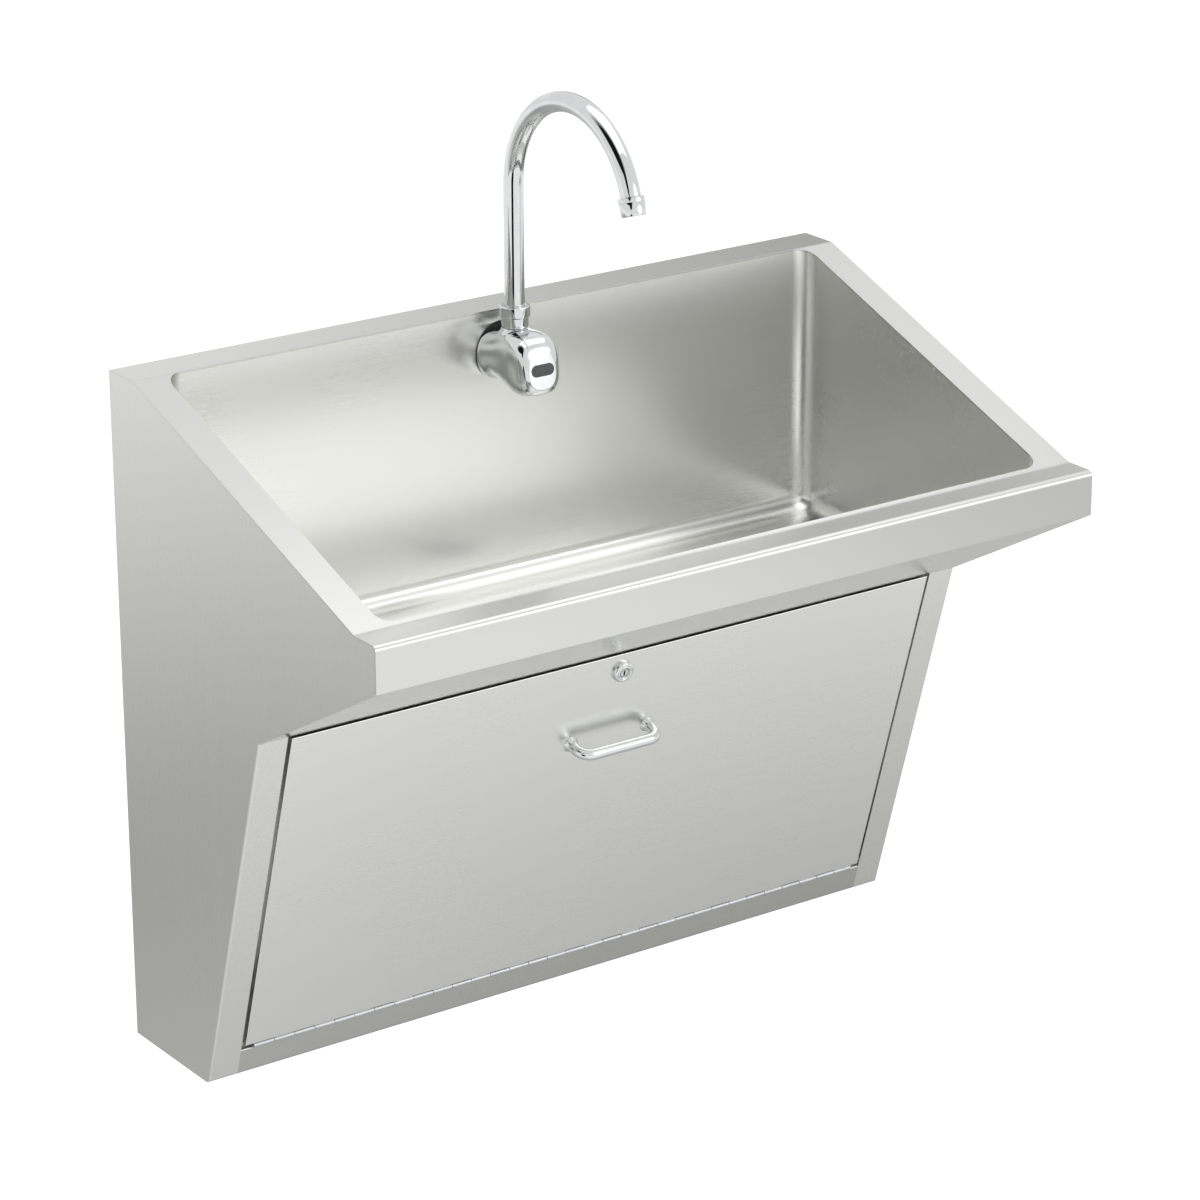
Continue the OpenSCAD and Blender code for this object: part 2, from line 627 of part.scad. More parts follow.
// Closed skin over a stack of rings that all have n points
module skin(rings, n) {
    count = len(rings);
    polyhedron(
        points = [for (r = rings) each r],
        faces = concat(
            [[for (j = [0:n - 1]) j]],
            [[for (j = [n - 1:-1:0]) (count - 1) * n + j]],
            [for (i = [0:count - 2], j = [0:n - 1]) each [
                [i * n + j, (i + 1) * n + j, i * n + (j + 1) % n],
                [i * n + (j + 1) % n, (i + 1) * n + j, (i + 1) * n + (j + 1) % n]]]));
}
module obround(w, h, depth) {
    linear_extrude(height = depth) {
        square([w - h, h], center = true);
        for (side = [-1, 1]) translate([side * (w - h) / 2, 0]) circle(d = h);
    }
}
module faucet_body() color("whitesmoke") {
    last = len(body_sections) - 1;
    difference() {
        union() {
            skin([for (i = [0:body_rings]) body_ring(smooth_row(body_sections, last * i / body_rings))],
                body_sides);
            translate([0, spout_y, neck_foot])
                cylinder(r1 = neck_foot_r, r2 = neck_r, h = collar_foot - neck_foot, $fn = 48);
        }
        translate([0, -back_ledge, faucet_h]) out_of_wall() cylinder(r = waterway_r, h = spout_off);
        translate([0, spout_y, faucet_h]) {
            sphere(r = waterway_r);
            cylinder(r = waterway_r, h = collar_foot - faucet_h + over);
        }
        translate([0, face_y + 5, faucet_h - window_drop]) out_of_wall()
            obround(window_w + seat_gap, window_h + seat_gap, 10);
    }
}
module sensor_window() color("#404448") {
    translate([0, face_y + 5, faucet_h - window_drop]) out_of_wall() obround(window_w - seat_gap, window_h - seat_gap, 4.8);
}
module foot_gasket() color("black") {
    translate([0, -back_ledge, faucet_h]) out_of_wall() difference() {
        cylinder(r = faucet_foot_r - 1, h = gasket_t);
        translate([0, 0, -over]) cylinder(r = shank_r + seat_gap, h = gasket_t + 2 * over);
        translate([lead_x, lead_h - faucet_h, -over]) cylinder(r = lead_r + lead_room, h = gasket_t + 2 * over);
    }
}
shank_end = 30;
module faucet_shank() color("gold") {
    length = back_ledge + gasket_t - shank_end;
    translate([0, -shank_end, faucet_h]) out_of_wall() ring(shank_r, waterway_r, length);
}
washer_t = 2;
module shank_washer() color("silver") {
    translate([0, -back_ledge + bowl_t + washer_t, faucet_h]) out_of_wall()
        ring(16, shank_r + seat_gap, washer_t);
}
module shank_nut() color("gold") {
    thick = 9;
    translate([0, -back_ledge + bowl_t + washer_t + thick, faucet_h]) out_of_wall()
        hex_nut(16, shank_r + running_fit, thick);
}
elbow_r = 9;
elbow_y = elbow_r + 0.5 - shank_end;
elbow_low = faucet_h - 24;
module inlet_elbow() color("gold") {
    difference() {
        union() {
            translate([0, -shank_end, faucet_h]) mirror([0, 1, 0]) out_of_wall()
                cylinder(r = elbow_r, h = shank_end + elbow_y);
            translate([0, elbow_y, faucet_h]) sphere(r = elbow_r);
            translate([0, elbow_y, elbow_low]) cylinder(r = elbow_r, h = faucet_h - elbow_low);
        }
        translate([0, elbow_y, elbow_low - over]) cylinder(r = 5, h = faucet_h - elbow_low);
    }
}
module spout_collar() color("whitesmoke") {
    step = 12;
    wide = spout_r + 5.8;
    slim = spout_r + 3.8;
    bore = spout_r + running_fit;
    translate([0, spout_y, collar_foot]) rotate_extrude()
        polygon([[waterway_r, 0], [slim - 0.6, 0], [slim, 0.6], [slim, step - 0.8], [slim - 0.8, step],
            [wide - 0.8, step], [wide, step + 0.8], [wide, collar_h - 1], [wide - 1, collar_h],
            [bore + 0.8, collar_h], [bore, collar_h - 0.8], [bore, 4], [waterway_r, 4]]);
}
spout_foot = collar_foot + 4.2;
spout_bend_h = back_h + collar_top + spout_rise;
module gooseneck_spout() color("whitesmoke") {
    translate([0, spout_y, spout_foot]) ring(spout_r, spout_bore_r, spout_bend_h - spout_foot);
    translate([0, spout_y - goose_r, spout_bend_h]) rotate([90, 0, 90]) rotate_extrude(angle = goose_turn)
        translate([goose_r, 0]) difference() {
            circle(r = spout_r);
            circle(r = spout_bore_r);
        }
}
// Frame at the end of the gooseneck, its z axis pointing the way the water leaves
module at_outlet() {
    translate([0, spout_y - goose_r, spout_bend_h]) rotate([goose_turn, 0, 0]) translate([0, goose_r, 0])
        children();
}
aerator_h = 20;
module aerator_shell() color("whitesmoke") at_outlet() {
    wide = spout_r + 3.2;
    rotate_extrude()
        polygon([[spout_bore_r + 0.4, 0], [wide - 0.5, 0], [wide, 0.5], [wide - 0.9, aerator_h - 1],
            [wide - 1.7, aerator_h], [spout_bore_r + 0.4, aerator_h]]);
}
module aerator_screen() color("dimgray") at_outlet() translate([0, 0, aerator_h - 4]) difference() {
    cylinder(r = spout_bore_r + 0.1, h = 2.5);
    for (q = [0:60:300]) rotate([0, 0, q]) translate([5.2, 0, -over]) cylinder(r = 1.4, h = 5, $fn = 16);
}

// Drain, revolved about its axis; heights are above the bowl's floor
module on_drain() translate([0, -drain_d, bowl_floor_h]) children();
drain_len = 50;
grid_r = drain_body_r - 4;
grid_top = -1;
grid_t = 2;
grid_hole_r = 1.9;
grid_pitch = 5.4;
// Drain body with its grid in one piece; the grid's holes stand in three rings round a middle one
module drain_body() color("silver") on_drain() difference() {
    rotate_extrude()
        polygon([[0, grid_top - grid_t], [0, grid_top], [grid_r, grid_top], [grid_r, 0.8], [grid_r + 0.6, 1.2],
            [drain_flange_r - 3, 2], [drain_flange_r, 0.8], [drain_flange_r, 0.02], [drain_body_r, 0.02],
            [drain_body_r, -drain_len], [grid_r - 2, -drain_len], [grid_r - 2, grid_top - grid_t]]);
    for (turn = [0:3], q = [0:max(1, turn * 6) - 1])
        rotate([0, 0, turn == 0 ? 0 : q * 360 / (turn * 6)])
            translate([turn * grid_pitch, 0, grid_top - grid_t - over])
                cylinder(r = grid_hole_r, h = grid_t + 2 * over, $fn = 20);
}
module drain_gasket() color("black") on_drain() translate([0, 0, -bowl_t - 3])
    ring(drain_flange_r, drain_body_r + seat_gap, 3);
locknut_t = 7;
module drain_locknut() color("gold") on_drain() translate([0, 0, -bowl_t - 3 - locknut_t])
    hex_nut(drain_flange_r, drain_body_r + running_fit, locknut_t);
// Tailpiece with a flange that its nut holds against the drain's body
tail_top = bowl_floor_h - drain_len;
tail_low = waste_h - 45;
module tailpiece() color("silver") {
    translate([0, -drain_d, 0]) rotate_extrude()
        polygon([[waste_r - waste_t, tail_low], [waste_r, tail_low], [waste_r, tail_top - 2],
            [waste_r + 3, tail_top - 2], [waste_r + 3, tail_top - 0.02], [waste_r - waste_t, tail_top - 0.02]]);
}
module tailpiece_nut() color("silver") translate([0, -drain_d, tail_top - 6]) difference() {
    cylinder(r = drain_body_r + 8, h = 16, $fn = 8);
    translate([0, 0, 3]) cylinder(r = drain_body_r + running_fit, h = 16);
    translate([0, 0, -over]) cylinder(r = waste_r + seat_gap, h = 16);
}
// Trap: a U bend under the tailpiece and an arm that turns into the wall
arm_r = 35;
socket_t = 2.6;
socket_r = waste_r + seat_gap;
leg_top = waste_h - arm_r - 5;
trap_floor = leg_top - 30;
leg_y = -drain_d + 2 * trap_r;
module trap_bend() color("silver") {
    translate([0, -drain_d, tail_low - 5]) ring(socket_r + socket_t, socket_r, 30);
    translate([0, -drain_d, trap_floor]) ring(waste_r + 1, waste_r - waste_t, tail_low - 5 - trap_floor);
    translate([0, (leg_y - drain_d) / 2, trap_floor]) rotate([90, 0, -90]) mirror([0, 1, 0])
        rotate_extrude(angle = 180) translate([trap_r, 0]) difference() {
            circle(r = waste_r);
            circle(r = waste_r - waste_t);
        }
    translate([0, leg_y, trap_floor]) ring(waste_r, waste_r - waste_t, leg_top - trap_floor);
}
module trap_arm() color("silver") {
    centre_y = leg_y + arm_r;
    centre_h = waste_h - arm_r;
    translate([0, leg_y, centre_h - 28]) ring(socket_r + socket_t, socket_r, 23);
    translate([0, leg_y, centre_h - 5]) ring(socket_r + socket_t, waste_r - waste_t, 5);
    translate([0, centre_y, centre_h]) rotate([90, 0, 90]) rotate([0, 0, 90]) rotate_extrude(angle = 90)
        translate([arm_r, 0]) difference() {
            circle(r = waste_r);
            circle(r = waste_r - waste_t);
        }
    translate([0, 0, waste_h]) out_of_wall() ring(waste_r, waste_r - waste_t, -centre_y);
}
module slip_nuts() color("darkgray") {
    bore = socket_r + socket_t + seat_gap;
    translate([0, -drain_d, tail_low + 9]) slip_nut(bore);
    translate([0, leg_y, waste_h - arm_r - 28 - 3]) translate([0, 0, 16]) mirror([0, 0, 1]) slip_nut(bore);
}
module slip_nut(bore) {
    difference() {
        cylinder(r = bore + 5, h = 19, $fn = 8);
        translate([0, 0, -over]) cylinder(r = bore, h = 16 + over + 0.3);
        translate([0, 0, -over]) cylinder(r = waste_r + seat_gap, h = 19 + 2 * over);
    }
}

// Control box on the service rail, its lid facing the door
box_w = 140;
box_h = 106;
box_x = -inside_w / 2 + 175.7;
box_mid = (rail_low + rail_high) / 2;
box_base_d = 6;
box_depth = 50;
module control_box_base() color("#50555a") {
    translate([box_x - box_w / 2, -rail_face - box_base_d, box_mid - box_h / 2])
        cube([box_w, box_base_d, box_h]);
}
module control_box_cover() color("#8d9296") {
    translate([box_x, -rail_face - box_base_d - box_depth, box_mid]) rotate([-90, 0, 0])
        pan(box_w, box_h, box_depth, 6, 2.5);
}
module control_board() color("darkgreen") {
    translate([box_x + 10, -rail_face - box_base_d - 1.6, box_mid - 40]) cube([50, 1.6, 80]);
    translate([box_x + 20, -rail_face - box_base_d - 12, box_mid - 20]) cube([30, 10.4, 25]);
}
module battery_pack() color("#30343a") {
    cell_r = 7.2;
    translate([box_x - 58, -rail_face - box_base_d - 18, box_mid - 30]) cube([62, 18, 60]);
    for (i = [0:3]) translate([box_x - 58 + 31 + (i - 1.5) * 15, -rail_face - box_base_d - 18, box_mid])
        cylinder(r = cell_r, h = 50, center = true);
}

// Solenoid valve: water enters from the right and leaves at the top
valve_y = -45;
solenoid_x = -150;
module solenoid_valve() color("#3a3f45") {
    translate([solenoid_x, valve_y, box_mid - 18]) cylinder(r = 14, h = 36);
    translate([solenoid_x, valve_y, box_mid + 18]) cylinder(r = 8, h = 17);
    translate([solenoid_x, valve_y, box_mid]) rotate([0, 90, 0]) cylinder(r = 8, h = 27);
    translate([solenoid_x, valve_y - 8, box_mid]) out_of_wall() cylinder(r = 16, h = 30);
    translate([solenoid_x - 12, valve_y, box_mid - 12]) cube([24, -valve_y - rail_face, 24]);
}
// Mixing valve: hot and cold enter from below and the mix leaves at the top
mixer_x = 200;
mixer_y = -40;
mixer_face = 62;
mixer_port = 16;
module mixing_valve() color("gold") {
    difference() {
        union() {
            translate([mixer_x, -rail_face, box_mid]) out_of_wall() cylinder(r = 24, h = mixer_face - rail_face);
            for (side = [-1, 1]) translate([mixer_x + side * mixer_port, mixer_y, box_mid - 45])
                cylinder(r = 8, h = 40);
            translate([mixer_x, mixer_y, box_mid]) cylinder(r = 8, h = 45);
        }
        translate([mixer_x, -mixer_face + 10, box_mid]) out_of_wall() cylinder(r = 4 + running_fit, h = 20);
    }
}
module mixing_knob() color("#2c2f33") {
    difference() {
        union() {
            translate([mixer_x, -mixer_face - 0.5, box_mid]) out_of_wall() cylinder(r = 19, h = 20);
            translate([mixer_x, -mixer_face + 9, box_mid]) out_of_wall() cylinder(r = 4, h = 12);
        }
        for (q = [0:30:330]) translate([mixer_x, -mixer_face - 5, box_mid]) rotate([0, q, 0])
            translate([20.5, 0, 0]) out_of_wall() cylinder(r = 3, h = 20);
    }
}
// Stop valve on the wall: the supply pipe enters its back, the hose leaves its top
stop_y = -36;
stop_face = 52;
module stop_valve() {
    translate([0, 0, stop_h]) difference() {
        union() {
            out_of_wall() cylinder(r = 12.5, h = stop_face);
            translate([0, -stop_face, 0]) out_of_wall() cylinder(r = 9, h = 6, $fn = 6);
            translate([0, stop_y, 0]) cylinder(r = 8, h = 35);
        }
        translate([0, over, 0]) out_of_wall() cylinder(r = supply_r + running_fit, h = supply_depth + over);
        translate([0, -stop_face + 8, 0]) out_of_wall() cylinder(r = 3 + running_fit, h = 20);
    }
}
module hot_stop_valve() color("gold") translate([-stop_span / 2, 0, 0]) stop_valve();
module cold_stop_valve() color("gold") translate([stop_span / 2, 0, 0]) stop_valve();
module stop_handle() {
    start = stop_face + 6.5;
    translate([0, -stop_face + 7, stop_h]) out_of_wall() cylinder(r = 3, h = start - stop_face + 8);
    translate([0, -start, stop_h]) out_of_wall() {
        obround(36, 12, 8);
        cylinder(r = 8, h = 8);
    }
}
module hot_stop_handle() color("firebrick") translate([-stop_span / 2, 0, 0]) stop_handle();
module cold_stop_handle() color("steelblue") translate([stop_span / 2, 0, 0]) stop_handle();

// Hoses: a smooth tube through points chosen by hand, with a nut at each end
hose_sides = 10;
function cross_unit(a, b) = unit(cross(a, b));
function hose_rings(route, steps, r, lay) =
    let (
        last = (len(route) - 1) * steps,
        mid = [for (k = [0:last]) smooth_row(route, k / steps)]
    )
    [for (k = [0:last])
        let (
            ahead = unit(mid[min(k + 1, last)] - mid[max(k - 1, 0)]),
            side = cross_unit(ahead, lay),
            up = cross(side, ahead)
        )
        [for (j = [0:hose_sides - 1]) let (q = 360 * j / hose_sides) mid[k] + r * (cos(q) * side - sin(q) * up)]];
module hose(route, r, lay) skin(hose_rings(route, 3, r, lay), hose_sides);
nut_h = 18;
module hose_nut(at) translate(at) cylinder(r = hose_r + 4, h = nut_h);
stop_top = stop_h + 35;
mixer_low = box_mid - 45;
mixer_top = box_mid + 45;
hot_route = [[-stop_span / 2, stop_y, stop_top + 5], [-stop_span / 2, stop_y - 4, stop_top + 35],
    [-95, -50, 275], [-60, -62, 305], [0, -68, 305], [60, -68, 270], [120, -66, 215], [165, -56, 200],
    [mixer_x - mixer_port, mixer_y - 4, 225], [mixer_x - mixer_port, mixer_y, mixer_low - 5]];
cold_route = [[stop_span / 2, stop_y, stop_top + 5], [stop_span / 2, stop_y, stop_top + 28],
    [118, -36, 255], [145, -36, 240], [185, -38, 195], [mixer_x + mixer_port - 5, mixer_y, 205],
    [mixer_x + mixer_port, mixer_y, 240], [mixer_x + mixer_port, mixer_y, mixer_low - 5]];
mixed_route = [[mixer_x, mixer_y, mixer_top + 5], [mixer_x, mixer_y, mixer_top + 30], [170, -48, 410],
    [110, -54, 410], [50, -54, 375], [-10, -52, 345], [-70, -48, 328], [solenoid_x + 50, valve_y, box_mid],
    [solenoid_x + 32, valve_y, box_mid]];
spout_route = [[solenoid_x, valve_y, box_mid + 40], [solenoid_x, valve_y, box_mid + 65], [-140, -36, 430],
    [-100, -26, 490], [-45, elbow_y, 550], [-8, elbow_y, 610], [0, elbow_y, 650], [0, elbow_y, elbow_low - 5]];
box_top = box_mid + box_h / 2;
lead_route = [[lead_x, -back_ledge - gasket_t, lead_h], [lead_x, -back_ledge, lead_h],
    [lead_x, -47, lead_h], [lead_x, -40, lead_h - 6],
    [lead_x, -38, lead_h - 30], [lead_x, -38, 640], [8, -38, 570], [-30, -40, 520], [-80, -43, 480],
    [-120, -46, 462], [-170, -46, 447], [-220, -46, 432], [box_x + 8, -49, box_top + 34],
    [box_x, -50, box_top + 18], [box_x, -50, box_top + 9], [box_x, -50, box_top]];
module hot_hose() color("lightgray") {
    hose(hot_route, hose_r, [0, 1, 0]);
    hose_nut([-stop_span / 2, stop_y, stop_top]);
    hose_nut([mixer_x - mixer_port, mixer_y, mixer_low - nut_h]);
}
module cold_hose() color("lightgray") {
    hose(cold_route, hose_r, [0, 1, 0]);
    hose_nut([stop_span / 2, stop_y, stop_top]);
    hose_nut([mixer_x + mixer_port, mixer_y, mixer_low - nut_h]);
}
module mixed_hose() color("lightgray") {
    hose(mixed_route, hose_r, [0, 1, 0]);
    hose_nut([mixer_x, mixer_y, mixer_top]);
    translate([solenoid_x + 27, valve_y, box_mid]) rotate([0, 90, 0]) cylinder(r = hose_r + 4, h = nut_h);
}
module spout_hose() color("lightgray") {
    hose(spout_route, hose_r, [0, 1, 0]);
    hose_nut([solenoid_x, valve_y, box_mid + 35]);
    hose_nut([0, elbow_y, elbow_low - nut_h]);
}
module sensor_lead() color("#202224") hose(lead_route, lead_r, [1, 1, 0]);

rim_deck();
bowl();
bowl_left_end();
bowl_right_end();
sound_pad();
left_side_panel();
right_side_panel();
soffit_panel();
bottom_pan();
left_hanger_channel();
right_hanger_channel();
left_wall_hanger();
right_wall_hanger();
service_rail();
access_door();
hinge_frame_leaf();
hinge_door_leaf();
hinge_pin();
pull_handle();
handle_screws();
lock_body();
lock_nut();
lock_plug();
lock_cam();
cam_screw();
faucet_body();
sensor_window();
foot_gasket();
faucet_shank();
shank_washer();
shank_nut();
inlet_elbow();
spout_collar();
gooseneck_spout();
aerator_shell();
aerator_screen();
drain_body();
drain_gasket();
drain_locknut();
tailpiece();
tailpiece_nut();
trap_bend();
trap_arm();
slip_nuts();
control_box_base();
control_box_cover();
control_board();
battery_pack();
solenoid_valve();
mixing_valve();
mixing_knob();
hot_stop_valve();
cold_stop_valve();
hot_stop_handle();
cold_stop_handle();
hot_hose();
cold_hose();
mixed_hose();
spout_hose();
sensor_lead();
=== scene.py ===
import bpy
import bmesh
import math
from mathutils import Matrix, Vector


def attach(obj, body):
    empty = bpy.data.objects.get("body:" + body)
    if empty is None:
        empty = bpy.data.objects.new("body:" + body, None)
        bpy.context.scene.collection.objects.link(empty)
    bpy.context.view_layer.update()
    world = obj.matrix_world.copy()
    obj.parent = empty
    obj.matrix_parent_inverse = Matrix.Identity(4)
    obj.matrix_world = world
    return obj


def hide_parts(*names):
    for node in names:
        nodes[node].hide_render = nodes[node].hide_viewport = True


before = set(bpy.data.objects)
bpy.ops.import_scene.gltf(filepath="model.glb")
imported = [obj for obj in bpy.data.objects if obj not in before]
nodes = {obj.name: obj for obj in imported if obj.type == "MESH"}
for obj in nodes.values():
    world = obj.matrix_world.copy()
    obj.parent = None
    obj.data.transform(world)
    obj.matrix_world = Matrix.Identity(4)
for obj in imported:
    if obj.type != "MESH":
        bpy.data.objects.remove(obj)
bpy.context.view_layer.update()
mm = 0.001
print("scrub sink: frame loaded,", len(nodes), "nodes")


# camera, at the photo's place: wide cabinet seen from its left front
cameraSettings = {
    "place": (-2539.2, -3822.5, 2093.0),   # mm
    "azimuth": -35.30,
    "elevation": 20.17,
    "roll": -0.15,
    "lens": 130.44,
}


def makeCamera(c):
    a, e, r = (math.radians(c[k]) for k in ("azimuth", "elevation", "roll"))
    back = Vector((math.sin(a) * math.cos(e), -math.cos(a) * math.cos(e), math.sin(e)))
    right = Vector((0, 0, 1)).cross(back).normalized()
    up = back.cross(right)
    right, up = math.cos(r) * right + math.sin(r) * up, math.cos(r) * up - math.sin(r) * right
    data = bpy.data.cameras.new("camera")
    data.lens = c["lens"]
    data.sensor_width = 36
    data.clip_end = 60
    camera = bpy.data.objects.new("camera", data)
    turn = Matrix((right, up, back)).transposed().to_4x4()
    camera.matrix_world = Matrix.Translation(Vector(c["place"]) * mm) @ turn
    bpy.context.scene.collection.objects.link(camera)
    bpy.context.scene.camera = camera


makeCamera(cameraSettings)
bpy.context.scene.view_settings.view_transform = "Standard"


# making and finishing meshes

def linkMesh(name, mesh):
    obj = bpy.data.objects.new(name, mesh)
    bpy.context.scene.collection.objects.link(obj)
    return obj


def meshFrom(name, points, faces):
    # points in mm
    mesh = bpy.data.meshes.new(name)
    mesh.from_pydata([Vector(p) * mm for p in points], [], faces)
    bm = bmesh.new()
    bm.from_mesh(mesh)
    bmesh.ops.remove_doubles(bm, verts=bm.verts, dist=0.01 * mm)
    bmesh.ops.recalc_face_normals(bm, faces=bm.faces)
    bm.to_mesh(mesh)
    bm.free()
    return linkMesh(name, mesh)


def applyAll(obj):
    depsgraph = bpy.context.evaluated_depsgraph_get()
    mesh = bpy.data.meshes.new_from_object(obj.evaluated_get(depsgraph), preserve_all_data_layers=True,
                                           depsgraph=depsgraph)
    obj.modifiers.clear()
    old = obj.data
    obj.data = mesh
    bpy.data.meshes.remove(old)
    return obj


def smoothFaces(obj, angle):
    obj.data.polygons.foreach_set("use_smooth", [True] * len(obj.data.polygons))
    obj.data.set_sharp_from_angle(angle=math.radians(angle))
    return obj


def evenShading(obj, angle):
    # smooth shading that keeps edges sharper than the angle, and large faces flat
    smoothFaces(obj, angle)
    weighted = obj.modifiers.new("flatFaces", "WEIGHTED_NORMAL")
    weighted.keep_sharp = True
    weighted.weight = 60
    return applyAll(obj)


def thickenBehind(obj, sheet):
    # the sheet grows on the back of its faces
    shell = obj.modifiers.new("shell", "SOLIDIFY")
    shell.thickness = sheet * mm
    shell.offset = -1
    return applyAll(obj)


def softenEdges(obj, width, angle, segments=2):
    # rounds every hard edge a little so that it catches the light
    bevel = obj.modifiers.new("softEdge", "BEVEL")
    bevel.width = width * mm
    bevel.segments = segments
    bevel.limit_method = "ANGLE"
    bevel.angle_limit = math.radians(angle)
    bevel.use_clamp_overlap = True
    bevel.miter_outer = "MITER_ARC"
    applyAll(obj)
    return evenShading(obj, 50)


def cutOut(obj, *cutters):
    for cutter in cutters:
        cut = obj.modifiers.new("cut", "BOOLEAN")
        cut.operation = "DIFFERENCE"
        cut.solver = "EXACT"
        cut.object = cutter
    bpy.context.view_layer.update()
    applyAll(obj)
    for cutter in cutters:
        bpy.data.objects.remove(cutter)
    return obj


def cornerArc(a, b, c, radius, steps):
    # rounded corner b of the line a, b, c
    a, b, c = Vector(a), Vector(b), Vector(c)
    u, v = (a - b).normalized(), (c - b).normalized()
    half = math.acos(max(-1, min(1, u.dot(v)))) / 2
    middle = b + (u + v).normalized() * radius / math.sin(half)
    first, last = b + u * radius / math.tan(half) - middle, b + v * radius / math.tan(half) - middle
    start = math.atan2(first.y, first.x)
    turn = math.atan2(first.x * last.y - first.y * last.x, first.dot(last))
    angles = [start + turn * i / steps for i in range(steps + 1)]
    return [middle + radius * Vector((math.cos(q), math.sin(q))) for q in angles]


def bentPath(points, radii, steps=10):
    path = []
    for i, (point, radius) in enumerate(zip(points, radii)):
        path += cornerArc(points[i - 1], point, points[i + 1], radius, steps) if radius else [Vector(point)]
    return path


def offsetPath(path, d):
    # path moved to its left by d
    moved = []
    for i, p in enumerate(path):
        normals = []
        for a, b in ((i - 1, i), (i, i + 1)):
            if a >= 0 and b < len(path):
                step = (path[b] - path[a]).normalized()
                normals.append(Vector((-step.y, step.x)))
        m = (normals[0] + normals[-1]).normalized()
        moved.append(p + m * d / m.dot(normals[0]))
    return moved


def sheetLoop(points, radii, thickness):
    outer = bentPath(points, radii)
    return outer + offsetPath(outer, thickness)[::-1]


def prism(name, loop, place):
    # loop of 2-D points carried from place(point, 0) to place(point, 1)
    n = len(loop)
    points = [place(p, end) for end in (0, 1) for p in loop]
    faces = [list(range(n)), list(range(2 * n - 1, n - 1, -1))]
    faces += [[i, (i + 1) % n, n + (i + 1) % n, n + i] for i in range(n)]
    return meshFrom(name, points, faces)


def alongX(name, loop, x0, x1):
    return prism(name, loop, lambda p, end: (x1 if end else x0, p[0], p[1]))


def gridMesh(name, rows, closedRows=False):
    # faces between neighbouring rows; closed rows make a body, with a cap at each end
    n = len(rows[0])
    points = [p for row in rows for p in row]
    faces = []
    for i in range(len(rows) - 1):
        for j in range(n if closedRows else n - 1):
            k = (j + 1) % n
            faces.append([i * n + j, i * n + k, (i + 1) * n + k, (i + 1) * n + j])
    if closedRows:
        faces += [list(range(n)), [(len(rows) - 1) * n + j for j in range(n)]]
    return meshFrom(name, points, faces)


def lathe(name, profile, place, sides=96):
    # closed profile of (radius, height) pairs, turned about the axis that place() stands on
    points = []
    for i in range(sides):
        q = 2 * math.pi * i / sides
        points += [place(r * math.cos(q), r * math.sin(q), h) for r, h in profile]
    n = len(profile)
    faces = []
    for i in range(sides):
        k = (i + 1) % sides
        for j in range(n):
            m = (j + 1) % n
            faces.append([i * n + j, k * n + j, k * n + m, i * n + m])
    return meshFrom(name, points, faces)


def sweepTube(name, path, radii, sides):
    # closed tube along a line of points, with a radius for each
    side = None
    rows = []
    for i, p in enumerate(path):
        ahead = (path[min(i + 1, len(path) - 1)] - path[max(i - 1, 0)]).normalized()
        if side is None:
            side = ahead.orthogonal().normalized()
        side = (side - ahead * side.dot(ahead)).normalized()
        up = ahead.cross(side)
        rows.append([p + radii[i] * (math.cos(q) * side + math.sin(q) * up)
                     for q in (2 * math.pi * j / sides for j in range(sides))])
    return gridMesh(name, rows, closedRows=True)


def finishPiece(obj, body, material, slotName, *replaced):
    obj.data.materials.clear()
    obj.data.materials.append(material)
    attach(obj, body)
    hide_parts(*replaced)
    return obj


# surface effects that several materials share

def newGroup(name, inputs, outputs):
    group = bpy.data.node_groups.new(name, "ShaderNodeTree")
    for label, kind, value in inputs:
        socket = group.interface.new_socket(label, in_out="INPUT", socket_type=kind)
        socket.default_value = value
    for label, kind in outputs:
        group.interface.new_socket(label, in_out="OUTPUT", socket_type=kind)
    return group, group.nodes.new("NodeGroupInput"), group.nodes.new("NodeGroupOutput")


def wire(tree, *pairs):
    for a, b in pairs:
        tree.links.new(a, b)


def mathNode(tree, operation, a, b=None):
    node = tree.nodes.new("ShaderNodeMath")
    node.operation = operation
    for socket, value in zip(node.inputs, (a, b)):
        if value is None:
            continue
        if isinstance(value, (int, float)):
            socket.default_value = value
        else:
            tree.links.new(value, socket)
    return node.outputs[0]


def mapRange(tree, value, low, high, newLow, newHigh):
    node = tree.nodes.new("ShaderNodeMapRange")
    tree.links.new(value, node.inputs["Value"])
    for label, number in (("From Min", low), ("From Max", high), ("To Min", newLow), ("To Max", newHigh)):
        if isinstance(number, (int, float)):
            node.inputs[label].default_value = number
        else:
            tree.links.new(number, node.inputs[label])
    return node.outputs["Result"]


def noiseNode(tree, vector, scale, detail, roughness):
    node = tree.nodes.new("ShaderNodeTexNoise")
    node.inputs["Scale"].default_value = scale
    node.inputs["Detail"].default_value = detail
    node.inputs["Roughness"].default_value = roughness
    tree.links.new(vector, node.inputs["Vector"])
    return node.outputs["Fac"]


